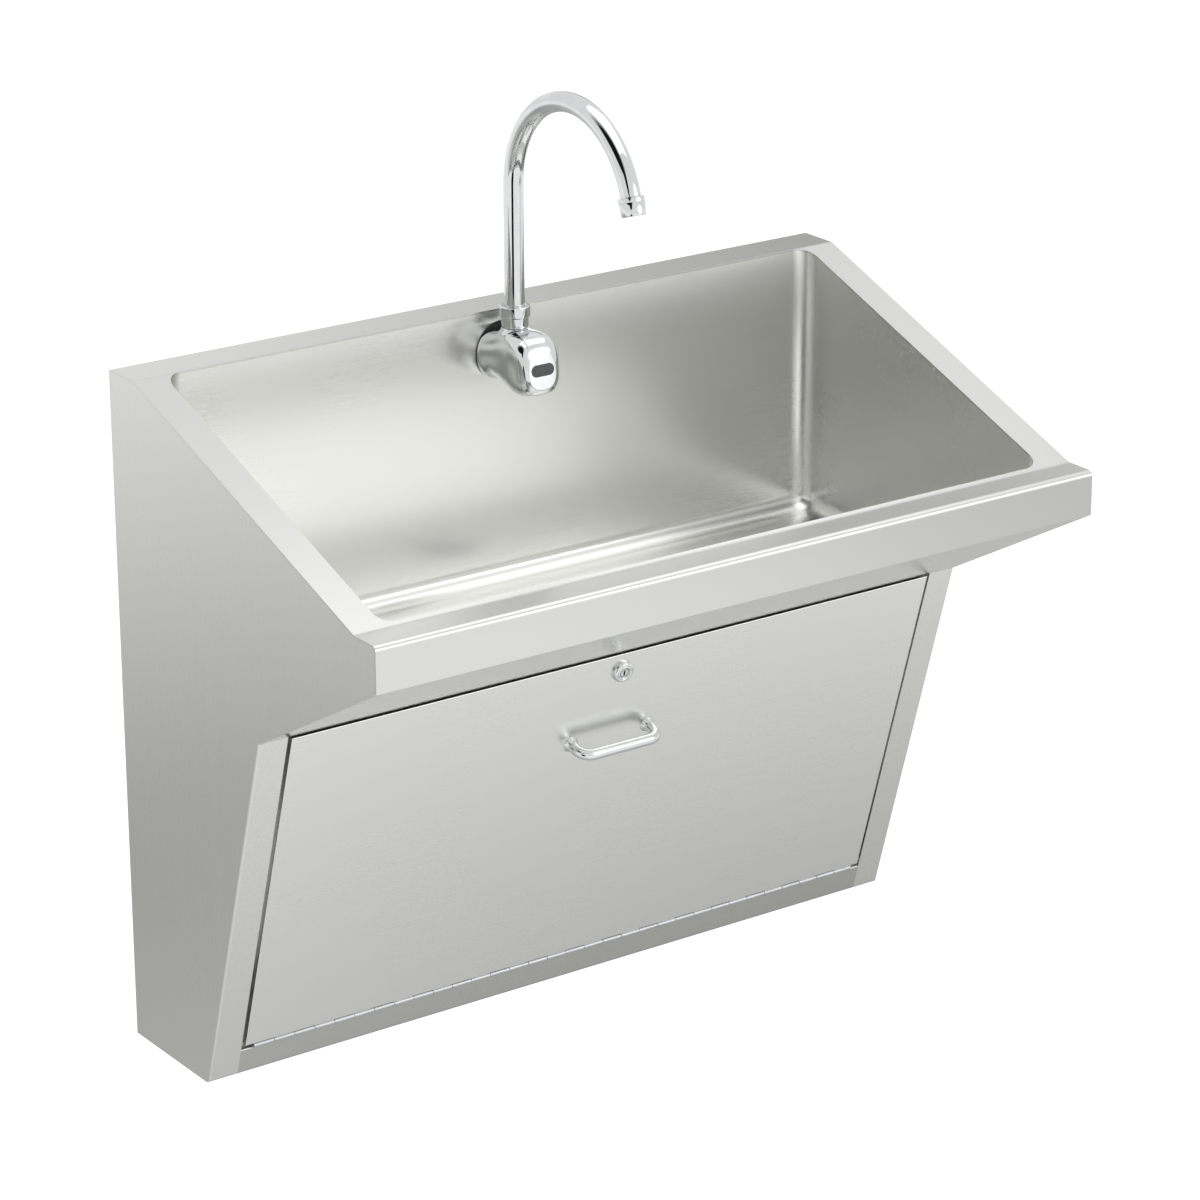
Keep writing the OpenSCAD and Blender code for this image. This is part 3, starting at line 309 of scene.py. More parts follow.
def makeGrainGroup():
    # long fine streaks, stretched by the Stretch vector, with broader bands under them
    group, inp, out = newGroup("brushedGrain",
                               [("Stretch", "NodeSocketVector", (2.0, 600.0, 600.0)),
                                ("Low", "NodeSocketFloat", 0.22), ("High", "NodeSocketFloat", 0.34)],
                               [("Roughness", "NodeSocketFloat"), ("Height", "NodeSocketFloat"),
                                ("Shade", "NodeSocketFloat")])
    coords = group.nodes.new("ShaderNodeTexCoord")
    mapping = group.nodes.new("ShaderNodeVectorMath")
    mapping.operation = "MULTIPLY"
    wire(group, (coords.outputs["Object"], mapping.inputs[0]), (inp.outputs["Stretch"], mapping.inputs[1]))
    fine = noiseNode(group, mapping.outputs[0], 1.0, 2.0, 0.6)
    wide = noiseNode(group, mapping.outputs[0], 0.07, 2.0, 0.5)
    parts = [mathNode(group, "MULTIPLY", noise, share) for noise, share in ((fine, 0.6), (wide, 0.4))]
    both = mathNode(group, "ADD", *parts)
    roughness = mapRange(group, both, 0.35, 0.65, inp.outputs["Low"], inp.outputs["High"])
    wire(group, (roughness, out.inputs["Roughness"]), (fine, out.inputs["Height"]),
         (mapRange(group, both, 0.3, 0.7, 0.0, 1.0), out.inputs["Shade"]))
    return group


def makeHandlingGroup():
    # soft cloudy patches, as wiping leaves them
    group, inp, out = newGroup("handlingMarks",
                               [("Scale", "NodeSocketFloat", 4.0), ("Amount", "NodeSocketFloat", 0.05)],
                               [("Mask", "NodeSocketFloat"), ("Change", "NodeSocketFloat")])
    coords = group.nodes.new("ShaderNodeTexCoord")
    cloud = group.nodes.new("ShaderNodeTexNoise")
    cloud.inputs["Detail"].default_value = 4.0
    cloud.inputs["Roughness"].default_value = 0.5
    wire(group, (coords.outputs["Object"], cloud.inputs["Vector"]),
         (inp.outputs["Scale"], cloud.inputs["Scale"]))
    mask = mapRange(group, cloud.outputs["Fac"], 0.35, 0.7, 0.0, 1.0)
    wire(group, (mask, out.inputs["Mask"]),
         (mathNode(group, "MULTIPLY", mathNode(group, "SUBTRACT", mask, 0.5), inp.outputs["Amount"]),
          out.inputs["Change"]))
    return group


def makePeelGroup():
    # faint unevenness of moulded or cast surfaces
    group, inp, out = newGroup("surfacePeel",
                               [("Scale", "NodeSocketFloat", 900.0)],
                               [("Height", "NodeSocketFloat"), ("Mask", "NodeSocketFloat")])
    coords = group.nodes.new("ShaderNodeTexCoord")
    noise = group.nodes.new("ShaderNodeTexNoise")
    noise.inputs["Detail"].default_value = 3.0
    wire(group, (coords.outputs["Object"], noise.inputs["Vector"]),
         (inp.outputs["Scale"], noise.inputs["Scale"]),
         (noise.outputs["Fac"], out.inputs["Height"]),
         (mapRange(group, noise.outputs["Fac"], 0.4, 0.62, 0.0, 1.0), out.inputs["Mask"]))
    return group


grainGroup, handlingGroup, peelGroup = makeGrainGroup(), makeHandlingGroup(), makePeelGroup()
print("scrub sink: surface effects built")


def newMaterial(name):
    material = bpy.data.materials.new(name)
    material.use_nodes = True
    tree = material.node_tree
    return material, tree, tree.nodes["Principled BSDF"]


def placeGroup(tree, group, **values):
    node = tree.nodes.new("ShaderNodeGroup")
    node.node_tree = group
    for label, value in values.items():
        node.inputs[label].default_value = value
    return node


def blendColours(tree, factor, a, b):
    # a and b are colours or the sockets that give them; a Mix node has its colours on sockets 6, 7 and 2
    node = tree.nodes.new("ShaderNodeMix")
    node.data_type = "RGBA"
    wire(tree, (factor, node.inputs[0]))
    for socket, colour in ((node.inputs[6], a), (node.inputs[7], b)):
        if isinstance(colour, tuple):
            socket.default_value = (*colour, 1)
        else:
            wire(tree, (colour, socket))
    return node.outputs[2]


def addBump(tree, shader, height, strength, distance):
    bump = tree.nodes.new("ShaderNodeBump")
    bump.inputs["Strength"].default_value = strength
    bump.inputs["Distance"].default_value = distance
    wire(tree, (height, bump.inputs["Height"]), (bump.outputs["Normal"], shader.inputs["Normal"]))


# satin steel of the door; the other sheets change a few of these values, low and high are its roughness
steel = {
    "stretch": (4.0, 2200.0, 2200.0), "along": (1, 0.001, 0),   # grain, finer across than along
    "dark": (0.735, 0.739, 0.712), "light": (0.745, 0.749, 0.722), "low": 0.27, "high": 0.276,
    "drawnOut": 0.45,   # how far reflections are drawn out across the grain
    "bump": 0.002, "bumpHeight": 0.04 * mm, "wipeScale": 3.5, "wipeAmount": 0.01,
}


def satinSteel(name, **changes):
    look = {**steel, **changes}
    material, tree, shader = newMaterial(name)
    grainWay = tree.nodes.new("ShaderNodeCombineXYZ")
    for socket, value in zip(grainWay.inputs, look["along"]):
        socket.default_value = value
    wire(tree, (grainWay.outputs[0], shader.inputs["Tangent"]))
    shader.inputs["Anisotropic"].default_value = look["drawnOut"]
    shader.inputs["Metallic"].default_value = 1.0
    grain = placeGroup(tree, grainGroup, Stretch=look["stretch"], Low=look["low"], High=look["high"])
    marks = placeGroup(tree, handlingGroup, Scale=look["wipeScale"], Amount=look["wipeAmount"])
    roughness = mathNode(tree, "ADD", grain.outputs["Roughness"], marks.outputs["Change"])
    colour = blendColours(tree, grain.outputs["Shade"], look["dark"], look["light"])
    wire(tree, (roughness, shader.inputs["Roughness"]), (colour, shader.inputs["Base Color"]))
    addBump(tree, shader, grain.outputs["Height"], look["bump"], look["bumpHeight"])
    return material


def plated(name, dark, light, roughness, spread, spotScale=60.0):
    material, tree, shader = newMaterial(name)
    marks = placeGroup(tree, handlingGroup, Scale=spotScale, Amount=spread)
    shader.inputs["Metallic"].default_value = 1.0
    wire(tree, (mathNode(tree, "ADD", marks.outputs["Change"], roughness), shader.inputs["Roughness"]),
         (blendColours(tree, marks.outputs["Mask"], dark, light), shader.inputs["Base Color"]))
    return material


def moulded(name, dark, light, roughness, scale=900.0, bump=0.15):
    material, tree, shader = newMaterial(name)
    peel = placeGroup(tree, peelGroup, Scale=scale)
    shader.inputs["Metallic"].default_value = 0.0
    spread = 0.05
    wire(tree, (mapRange(tree, peel.outputs["Mask"], 0.0, 1.0, roughness - spread, roughness + spread),
                shader.inputs["Roughness"]),
         (blendColours(tree, peel.outputs["Mask"], dark, light), shader.inputs["Base Color"]))
    addBump(tree, shader, peel.outputs["Height"], bump, 0.1 * mm)
    return material


chrome = {"dark": (0.62, 0.635, 0.64), "light": (0.68, 0.69, 0.69), "roughness": 0.022, "spread": 0.01}
materials = {
    "doorSteel": satinSteel("doorSteel"),
    # rim: the door's steel with its colour darkened, painted shade so that its ledges read dimmer
    "rimSteelPaintedShade": satinSteel("rimSteelPaintedShade", dark=(0.630, 0.634, 0.616), light=(0.640, 0.644, 0.626),
                           low=0.258, high=0.266),
    # side panels: the door's steel with upright grain, its colour darkened as painted shade
    "sideSteelPaintedShade": satinSteel("sideSteelPaintedShade", dark=(0.675, 0.676, 0.650), light=(0.685, 0.686, 0.660),
                            stretch=(2200.0, 2200.0, 4.0), along=(0.001, 0, 1)),
    # bowl: the door's steel with its colour lightened, painted light against the dimming of light bouncing
    # between its walls
    "bowlSteelPaintedLight": satinSteel("bowlSteelPaintedLight", dark=(0.785, 0.787, 0.764), light=(0.795, 0.797, 0.774),
                            low=0.275, high=0.281, bump=0.001),
    # bottom pan: the door's steel with its colour darkened, painted shade for the floor's shadow that it
    # mirrors
    "railSteelPaintedShade": satinSteel("railSteelPaintedShade", dark=(0.520, 0.523, 0.492), light=(0.530, 0.533, 0.502)),
    # soffit: the door's steel, smoother, its colour lightened as painted light against the shade it gets
    # under the rim
    "soffitSteelPaintedLight": satinSteel("soffitSteelPaintedLight", dark=(0.820, 0.824, 0.790), light=(0.830, 0.834, 0.800),
                              low=0.15, high=0.18),
    "chrome": plated("polishedChrome", **chrome),
    "zinc": plated("zincPlate", (0.48, 0.49, 0.50), (0.62, 0.63, 0.64), 0.34, 0.12, 30.0),
    "brass": plated("castBrass", (0.52, 0.38, 0.16), (0.66, 0.51, 0.25), 0.32, 0.15, 40.0),
    "rubber": moulded("blackRubber", (0.020, 0.020, 0.020), (0.034, 0.033, 0.032), 0.62),
    "pad": moulded("dampingPad", (0.060, 0.060, 0.063), (0.095, 0.095, 0.098), 0.85, 300.0, 0.4),
    "box": moulded("boxPlastic", (0.130, 0.140, 0.150), (0.165, 0.175, 0.185), 0.48),
    "black": moulded("blackPlastic", (0.022, 0.022, 0.024), (0.038, 0.038, 0.041), 0.45),
    "window": moulded("windowPlastic", (0.055, 0.058, 0.060), (0.070, 0.073, 0.075), 0.12, 300.0, 0.02),
    "circuit": moulded("circuitBoard", (0.018, 0.120, 0.045), (0.030, 0.160, 0.065), 0.35, 500.0, 0.2),
    "hot": moulded("hotRed", (0.440, 0.035, 0.030), (0.520, 0.050, 0.040), 0.42),
    "cold": moulded("coldBlue", (0.030, 0.110, 0.400), (0.045, 0.140, 0.470), 0.42),
}
print("scrub sink: materials ready")


# cabinet, its sizes in mm and the two slopes that follow from them
cabinet = {
    "width": 914.4, "depth": 508.0, "backHeight": 762.0, "frontHeight": 609.6, "apron": 50.0,
    "footDepth": 154.6, "kneeDepth": 282.0, "kneeHeight": 433.6,
    "backLedge": 50.8, "sideLedge": 36.0, "frontLedge": 43.5, "frontFlat": 38.0,
    "rimSheet": 2.0, "panelSheet": 1.5,
}
lean = math.atan((cabinet["kneeDepth"] - cabinet["footDepth"]) / cabinet["kneeHeight"])
frontLength = math.hypot(cabinet["kneeDepth"] - cabinet["footDepth"], cabinet["kneeHeight"])
apronFoot = cabinet["frontHeight"] - cabinet["apron"]
soffitTilt = math.atan((apronFoot - cabinet["kneeHeight"]) / (cabinet["depth"] - cabinet["kneeDepth"]))


def onFront(x, s, n):
    # s runs up the door's slope and n stands out of it
    return Vector((x, -cabinet["footDepth"] - s * math.sin(lean) - n * math.cos(lean),
                   s * math.cos(lean) - n * math.sin(lean)))


# rim and apron, one bent sheet with the bowl's opening in it
rim = {"drop": 40.0, "bends": (0, 3, 12, 12, 6, 0), "bendSteps": 12, "cornerRadius": 20.0, "edge": 1.2,
       "cutLow": 4.0, "cutHigh": 900.0}   # the cut goes from this far above the apron's foot to this height
rimLine = [(0, cabinet["backHeight"] - rim["drop"]), (0, cabinet["backHeight"]),
           (-cabinet["backLedge"], cabinet["backHeight"]),
           (cabinet["frontFlat"] - cabinet["depth"], cabinet["frontHeight"]),
           (-cabinet["depth"], cabinet["frontHeight"]), (-cabinet["depth"], apronFoot)]
halfBowl = cabinet["width"] / 2 - cabinet["sideLedge"]
bowlBack, bowlFront = -cabinet["backLedge"], cabinet["frontLedge"] - cabinet["depth"]


def openingLoop():
    r = rim["cornerRadius"]
    corners = [(0, bowlBack), (-halfBowl, bowlBack), (-halfBowl, bowlFront), (halfBowl, bowlFront),
               (halfBowl, bowlBack), (0, bowlBack)]
    return bentPath(corners, [0, r, r, r, r, 0], rim["bendSteps"])[:-1]


def makeRim():
    half = cabinet["width"] / 2
    sheet = alongX("rim", sheetLoop(rimLine, rim["bends"], cabinet["rimSheet"]), -half, half)
    heights = (apronFoot + rim["cutLow"], rim["cutHigh"])
    cutOut(sheet, prism("opening", openingLoop(), lambda p, end: (*p, heights[end])))
    softenEdges(sheet, rim["edge"], angle=38, segments=3)
    return finishPiece(sheet, "cabinet", materials["rimSteelPaintedShade"], "stainless_sheet", "rim_deck")


makeRim()
print("scrub sink: rim made")


# bowl, with a slanted front that runs along the soffit
bowl = {"floor": 450.0, "sheet": 1.6, "cove": 20.0, "gap": 10.0, "drainDepth": 168.0, "drainHole": 25.3,
        "holeReach": 8.0, "coveSteps": 10, "edgeSteps": 24, "wallSteps": 4}
rimUnderside = offsetPath(bentPath(rimLine, rim["bends"], rim["bendSteps"]), cabinet["rimSheet"])


def onFloor(x, y, h):
    return (x, y - bowl["drainDepth"], bowl["floor"] + h)


def undersideAt(y):
    # height of the rim's underside at depth y
    height = cabinet["frontHeight"]
    for a, b in zip(rimUnderside, rimUnderside[1:]):
        if a.x > b.x + 1e-6 and b.x <= y <= a.x:
            height = a.y + (b.y - a.y) * (y - a.x) / (b.x - a.x)
    return height


def bowlWall():
    # back wall, floor, slanted front and front wall, seen from the side
    slantOff = (cabinet["panelSheet"] + bowl["gap"] + bowl["sheet"]) / math.cos(soffitTilt)
    soffitAt = lambda d: cabinet["kneeHeight"] + (d - cabinet["kneeDepth"]) * math.tan(soffitTilt)
    bend = -cabinet["kneeDepth"] - (bowl["floor"] - cabinet["kneeHeight"] - slantOff) / math.tan(soffitTilt)
    corners = [(bowlBack, cabinet["backHeight"]), (bowlBack, bowl["floor"]), (bend, bowl["floor"]),
               (bowlFront, soffitAt(-bowlFront) + slantOff), (bowlFront, cabinet["backHeight"])]
    return [Vector(p) for p in corners]


def bowlStations():
    # places along the wall, one cove's radius inside it, each with its outward direction
    wall = bowlWall()
    core = offsetPath(wall, -bowl["cove"])
    outward = []
    for i in range(4):
        leg = (core[i + 1] - core[i]).normalized()
        normal = Vector((-leg.y, leg.x))
        outward.append(normal if normal.dot(wall[i] - core[i]) > 0 else -normal)
    stations = []
    for i in range(4):
        steps = bowl["wallSteps"] if i < 3 else 1
        for k in range(steps + 1):
            stations.append((core[i].lerp(core[i + 1], k / steps), outward[i]))
        if i < 3:
            a, b = math.atan2(outward[i].y, outward[i].x), math.atan2(outward[i + 1].y, outward[i + 1].x)
            while b > a:
                b -= 2 * math.pi
            for k in range(1, bowl["coveSteps"]):
                q = a + (b - a) * k / bowl["coveSteps"]
                stations.append((core[i + 1], Vector((math.cos(q), math.sin(q)))))
    return stations


def makeWrapper(stations):
    # each row crosses the bowl: how far sideways and how far out
    flat = halfBowl - bowl["cove"]
    quarter = [(flat + bowl["cove"] * math.sin(q), bowl["cove"] * math.cos(q))
               for q in (math.pi / 2 * k / bowl["coveSteps"] for k in range(bowl["coveSteps"] + 1))]
    section = [(-x, out) for x, out in quarter[::-1]] + quarter
    rows = [[(x, c.x + o.x * out, c.y + o.y * out) for x, out in section] for c, o in stations]
    for i in (0, -1):
        rows[i] = [(x, y, undersideAt(y)) for x, y, z in rows[i]]
    return gridMesh("bowl", rows)


def closeEnds(obj, stations):
    # flat side walls inside the coves
    bm = bmesh.new()
    bm.from_mesh(obj.data)
    back, front = stations[0][0].x, stations[-1][0].x
    profile = [(c.x, c.y) for i, (c, o) in enumerate(stations[1:-1]) if (c - stations[i][0]).length > 0.01]
    topLine = [front + (back - front) * k / bowl["edgeSteps"] for k in range(bowl["edgeSteps"])]
    profile = [(back, undersideAt(back))] + profile + [(y, undersideAt(y)) for y in topLine]
    for side in (-1, 1):
        bm.faces.new([bm.verts.new(Vector((side * halfBowl, y, z)) * mm) for y, z in profile])
    bmesh.ops.remove_doubles(bm, verts=bm.verts, dist=0.02 * mm)
    bmesh.ops.recalc_face_normals(bm, faces=bm.faces)
    bm.normal_update()
    # its faces look into the bowl, so that the sheet grows away from it
    if sum(f.normal.z * f.calc_area() for f in bm.faces) < 0:
        bmesh.ops.reverse_faces(bm, faces=bm.faces)
    bm.to_mesh(obj.data)
    bm.free()


def makeBowl():
    stations = bowlStations()
    obj = makeWrapper(stations)
    closeEnds(obj, stations)
    thickenBehind(obj, bowl["sheet"])
    r, reach = bowl["drainHole"], bowl["holeReach"]
    cutOut(obj, lathe("hole", [(0, -reach), (r, -reach), (r, reach), (0, reach)], onFloor, 64))
    evenShading(obj, 40)
    return finishPiece(obj, "cabinet", materials["bowlSteelPaintedLight"], "stainless_sheet", "bowl", "bowl_left_end",
                       "bowl_right_end")


makeBowl()
print("scrub sink: bowl made")


# finished copies of solids whose shape needs only its edges eased
def dressNode(node, body, material, slotName, edge, angle=32):
    mesh = nodes[node].data.copy()
    mesh.name = node + "Finish"
    bm = bmesh.new()
    bm.from_mesh(mesh)
    bmesh.ops.remove_doubles(bm, verts=bm.verts, dist=0.004 * mm)
    bmesh.ops.dissolve_limit(bm, angle_limit=math.radians(1.0), verts=bm.verts, edges=bm.edges)
    bm.to_mesh(mesh)
    bm.free()
    obj = linkMesh(node + "Finish", mesh)
    softenEdges(obj, edge, angle)
    return finishPiece(obj, body, material, slotName, node)


for node in ("left_side_panel", "right_side_panel"):
    dressNode(node, "cabinet", materials["sideSteelPaintedShade"], "stainless_sheet", 0.5)
for node, look in (("soffit_panel", "soffitSteelPaintedLight"), ("bottom_pan", "railSteelPaintedShade")):
    dressNode(node, "cabinet", materials[look], "stainless_sheet", 0.4)
print("scrub sink: cabinet panels made")


# door, a folded pan on the leaning front; sizes are distances up the front and out of it
door = {"gap": 4.2, "low": 41.0, "topGap": 1.9, "lockDrop": 23.9, "fold": 13.5, "bend": 0.7, "sheet": 1.5,
        "bendSteps": 5, "stile": 35.0}


def makeDoor():
    half = cabinet["width"] / 2 - door["stile"] - door["gap"]
    low, high = door["low"], frontLength - door["topGap"]
    face, back = door["sheet"], door["sheet"] - door["fold"]
    corners = [(-half, low), (half, low), (half, high), (-half, high)]
    points = [onFront(x, s, face) for x, s in corners] + [onFront(x, s, back) for x, s in corners]
    faces = [[0, 1, 2, 3]] + [[i, i + 4, (i + 1) % 4 + 4, (i + 1) % 4] for i in range(4)]
    obj = meshFrom("door", points, faces)
    bm = bmesh.new()
    bm.from_mesh(obj.data)
    fold = [e for e in bm.edges if len(e.link_faces) == 2]
    bmesh.ops.bevel(bm, geom=fold, offset=door["bend"] * mm, segments=door["bendSteps"], profile=0.5,
                     affect="EDGES")
    bm.to_mesh(obj.data)
    bm.free()
    thickenBehind(obj, door["sheet"])
    evenShading(obj, 40)
    return finishPiece(obj, "door", materials["doorSteel"], "stainless_sheet", "access_door")


makeDoor()
print("scrub sink: door made")


# handle, a bent rod whose feet flare at the door
handle = {
    "span": 102.0, "radius": 6.3, "reach": 24.5, "bend": 14.0, "footRadius": 9.3, "belowLock": 85.0,
    # height above the door and how much of the foot's extra radius is left there
    "flare": [(0.0, 1.0), (0.6, 1.0), (1.2, 0.86), (2.2, 0.62), (3.4, 0.40), (4.8, 0.20), (6.4, 0.06),
              (8.0, 0.0)],
    "bendSteps": 16, "straightSteps": 6,
}
lockUp = frontLength - door["lockDrop"]
handleUp = lockUp - handle["belowLock"]


def makeHandle():
    # one half from its foot to the middle of the bar, then the same mirrored
    side, bend = handle["span"] / 2, handle["bend"]
    leg = handle["reach"] - bend
    grow = handle["footRadius"] - handle["radius"]
    half = [(-side, height, handle["radius"] + grow * part) for height, part in handle["flare"]]
    for k in range(handle["bendSteps"] + 1):
        q = math.pi / 2 * k / handle["bendSteps"]
        half.append((-side + bend * (1 - math.cos(q)), leg + bend * math.sin(q), handle["radius"]))
    straight = handle["straightSteps"]
    for k in range(1, straight // 2):
        half.append(((bend - side) * (1 - 2 * k / straight), handle["reach"], handle["radius"]))
    whole = half + [(0, handle["reach"], handle["radius"])] + [(-x, out, r) for x, out, r in half[::-1]]
    line = [onFront(x, handleUp, door["sheet"] + out) for x, out, r in whole]
    obj = smoothFaces(sweepTube("handle", line, [r for x, out, r in whole], 40), 50)
    return finishPiece(obj, "door", materials["chrome"], "chrome_plate", "pull_handle")


makeHandle()


# lock, a turned barrel round the plug
lock = {
    "collar": 13.0, "barrel": 9.5, "bore": 6.55, "proud": 6.0, "back": -18.2,
    # the collar's straight edge, a small step, and how far it rounds off inward and upward
    "collarEdge": 1.3, "step": 0.2, "round": (2.6, 4.2), "roundSteps": 6,
    "faceRing": [(9.6, 0), (8.9, 0.15), (8.5, 0.5), (8.1, 0.15)],   # radius and depth of its ring
    # the slot's size and colour give painted shade on the plug's face, a dark patch wider than the slot
    # that is cut
    "plugDepth": 1.0, "slot": (2.2, 6.6), "slotEdge": 0.2, "slotShade": (0.012, 0.012, 0.012),
}


def keyedChrome(centre, upward, outward):
    # bright plug with painted shade: dark in its key slot and wherever it lies below its face
    material = plated("plugChrome", **chrome)
    tree = material.node_tree
    colour = tree.nodes["Principled BSDF"].inputs["Base Color"]
    coords, offset = tree.nodes.new("ShaderNodeTexCoord"), tree.nodes.new("ShaderNodeVectorMath")
    offset.operation = "SUBTRACT"
    offset.inputs[1].default_value = centre
    wire(tree, (coords.outputs["Object"], offset.inputs[0]))

    def along(way):
        node = tree.nodes.new("ShaderNodeVectorMath")
        node.operation = "DOT_PRODUCT"
        node.inputs[1].default_value = way
        wire(tree, (offset.outputs[0], node.inputs[0]))
        return node.outputs["Value"]

    outside = [mathNode(tree, "GREATER_THAN", mathNode(tree, "ABSOLUTE", along(way)), size / 2 * mm)
               for way, size in zip(((1, 0, 0), upward), lock["slot"])]
    onFace = mathNode(tree, "GREATER_THAN", along(outward), -lock["slotEdge"] * mm)
    bright = mathNode(tree, "MULTIPLY", mathNode(tree, "MAXIMUM", *outside), onFace)
    wire(tree, (blendColours(tree, bright, lock["slotShade"], colour.links[0].from_socket), colour))
    return material


def makeLock():
    place = lambda x, y, h: onFront(x, lockUp + y, h)
    sheet, bore = door["sheet"], lock["bore"]
    face = sheet + lock["proud"]
    profile = [(bore, lock["back"]), (lock["barrel"], lock["back"]), (lock["barrel"], sheet),
               (lock["collar"], sheet), (lock["collar"], sheet + lock["collarEdge"])]
    for k in range(1, lock["roundSteps"] + 1):
        q = math.pi / 2 * k / lock["roundSteps"]
        inward, upward = lock["round"]
        profile.append((lock["collar"] - lock["step"] - inward * (1 - math.cos(q)),
                        sheet + lock["collarEdge"] + lock["step"] + upward * math.sin(q)))
    profile += [(r, face - depth) for r, depth in lock["faceRing"]]
    profile += [(bore + 0.6, face - 0.15), (bore, face - 0.7)]
    obj = smoothFaces(lathe("lockBarrel", profile, place), 42)
    finishPiece(obj, "door", materials["chrome"], "chrome_plate", "lock_body")
    plugFace = face - lock["plugDepth"]
    centre, above, before = (place(0, up, plugFace + out) * mm for up, out in ((0, 0), (1, 0), (0, 1)))
    keyed = keyedChrome(centre, (above - centre).normalized(), (before - centre).normalized())
    dressNode("lock_plug", "lock", keyed, "chrome_plate", 0.12, 40)


makeLock()
print("scrub sink: handle and lock made")


# faucet
faucet = {
    "centre": 716.5, "gasket": 1.5, "reach": 83.0, "footRadius": 32.5, "spoutOff": 27.0,
    "collarFoot": 748.0,
    # share of the reach, half width as a share of the foot's, lowest, highest, squareness
    "sections": [(0.00, 1.00, -32.5, 26.0, 2.4), (0.08, 1.00, -32.0, 26.5, 2.4),
                 (0.20, 0.95, -28.5, 28.0, 2.4), (0.35, 0.89, -32.0, 29.5, 2.6),
                 (0.50, 0.87, -36.5, 30.5, 2.9), (0.65, 0.87, -38.0, 30.0, 3.1),
                 (0.80, 0.84, -37.0, 27.5, 3.1), (0.90, 0.77, -35.0, 24.0, 3.0),
                 (0.96, 0.68, -32.5, 19.5, 2.8), (1.00, 0.54, -28.0, 13.0, 2.6)],
    # size of each ring of the domed face as a share of the last section's, and how far out it is in depths
    "dome": ((0.93, 0.55), (0.84, 0.85), (0.7, 1.05), (0.5, 1.15), (0.25, 1.2)), "domeDepth": 0.15,
    # the face leans back from this far below the centre, growing over the last part of the reach
    "faceTilt": 8.0, "tiltBelow": 28.0, "tiltFrom": 0.75, "tiltGrowth": 1.5,
    # the neck under the collar is a hollow curve that blends into the body
    "neckReach": 25.0, "neckTop": 14.4, "neckWidth": 7.6, "neckDrop": 10.5, "neckGrowth": 0.8,
    "neckBlend": 2.6,
    "sides": 192, "rings": 120,
}
spoutY = bowlBack - faucet["spoutOff"]


def smoothRow(rows, q):
    # row of values at place q, between the rows that the table gives
    i = min(int(q), len(rows) - 2)
    t = q - i
    near = (rows[max(0, min(len(rows) - 1, k))] for k in (i - 1, i, i + 1, i + 2))
    return [0.5 * (2 * b + (c - a) * t + (2 * a - 5 * b + 4 * c - d) * t * t
                   + (3 * b - a - 3 * c + d) * t ** 3) for a, b, c, d in zip(*near)]


def leanBack(z, part=1.0):
    rise = max(0.0, z - faucet["centre"] + faucet["tiltBelow"])
    return rise * math.tan(math.radians(faucet["faceTilt"])) * part


def raiseNeck(z, away):
    # away is the distance from the spout's axis
    top, blend = faucet["collarFoot"], faucet["neckBlend"]
    out = max(0.0, away - faucet["neckTop"]) / faucet["neckWidth"]
    neck = top - faucet["neckDrop"] * out ** faucet["neckGrowth"]
    h = max(0.0, min(1.0, 0.5 + 0.5 * (neck - z) / blend))
    return min(z + (neck - z) * h + blend * h * (1 - h), top)


def makeFaucetBody():
    power = lambda v, p: math.copysign(abs(v) ** p, v)
    sections, rows = faucet["sections"], []
    for i in range(faucet["rings"] + 1):
        t, half, low, high, square = smoothRow(sections, (len(sections) - 1) * i / faucet["rings"])
        y = bowlBack - faucet["gasket"] - t * (faucet["reach"] - faucet["gasket"])
        row = []
        for j in range(faucet["sides"]):
            q = 2 * math.pi * j / faucet["sides"]
            x = half * faucet["footRadius"] * power(math.cos(q), 2 / square)
            z = faucet["centre"] + (low + high) / 2 + (high - low) / 2 * power(math.sin(q), 2 / square)
            away = math.hypot(x, y - spoutY)
            if z > faucet["centre"] and away < faucet["neckReach"]:
                z = raiseNeck(z, away)
            row.append((x, y, z))
        rows.append(row)
    # the face closes in a shallow dome
    last = rows[-1]
    middle = faucet["centre"] + (low + high) / 2
    for shrink, share in faucet["dome"]:
        ahead = share * faucet["domeDepth"]
        rows.append([(x * shrink, y - ahead, middle + (z - middle) * shrink) for x, y, z in last])
    for i, row in enumerate(rows):
        depth = (bowlBack - row[0][1]) / faucet["reach"]
        part = max(0.0, (depth - faucet["tiltFrom"]) / (1 - faucet["tiltFrom"])) ** faucet["tiltGrowth"]
        rows[i] = [(x, y + leanBack(z, min(1.0, part)), z) for x, y, z in row]
    obj = smoothFaces(gridMesh("faucetBody", rows, closedRows=True), 60)
    return finishPiece(obj, "cabinet", materials["chrome"], "chrome_plate", "faucet_body")


# sensor window, let into the face; each row is drawn in by its first value, and y is measured from the face
window = {"width": 30.0, "height": 13.5, "below": 5.5,
          "rows": ((0.0, 4.0), (0.0, -0.05), (0.25, -0.22), (0.7, -0.30), (1.6, -0.30))}


def obroundLoop(width, height, steps=16):
    r, side = height / 2, (width - height) / 2
    angles = [math.pi * (k / steps - 0.5) for k in range(steps + 1)]
    loop = [(side + r * math.cos(q), r * math.sin(q)) for q in angles]
    return loop + [(-x, -z) for x, z in loop]


def makeWindow():
    rows = []
    face, middle = bowlBack - faucet["reach"], faucet["centre"] - window["below"]
    for inset, y in window["rows"]:
        loop = obroundLoop(window["width"] - 2 * inset, window["height"] - 2 * inset)
        rows.append([(x, face + y + leanBack(middle + z), middle + z) for x, z in loop])
    obj = smoothFaces(gridMesh("sensorWindow", rows, closedRows=True), 40)
    return finishPiece(obj, "cabinet", materials["window"], "window_plastic", "sensor_window")


makeFaucetBody()
makeWindow()


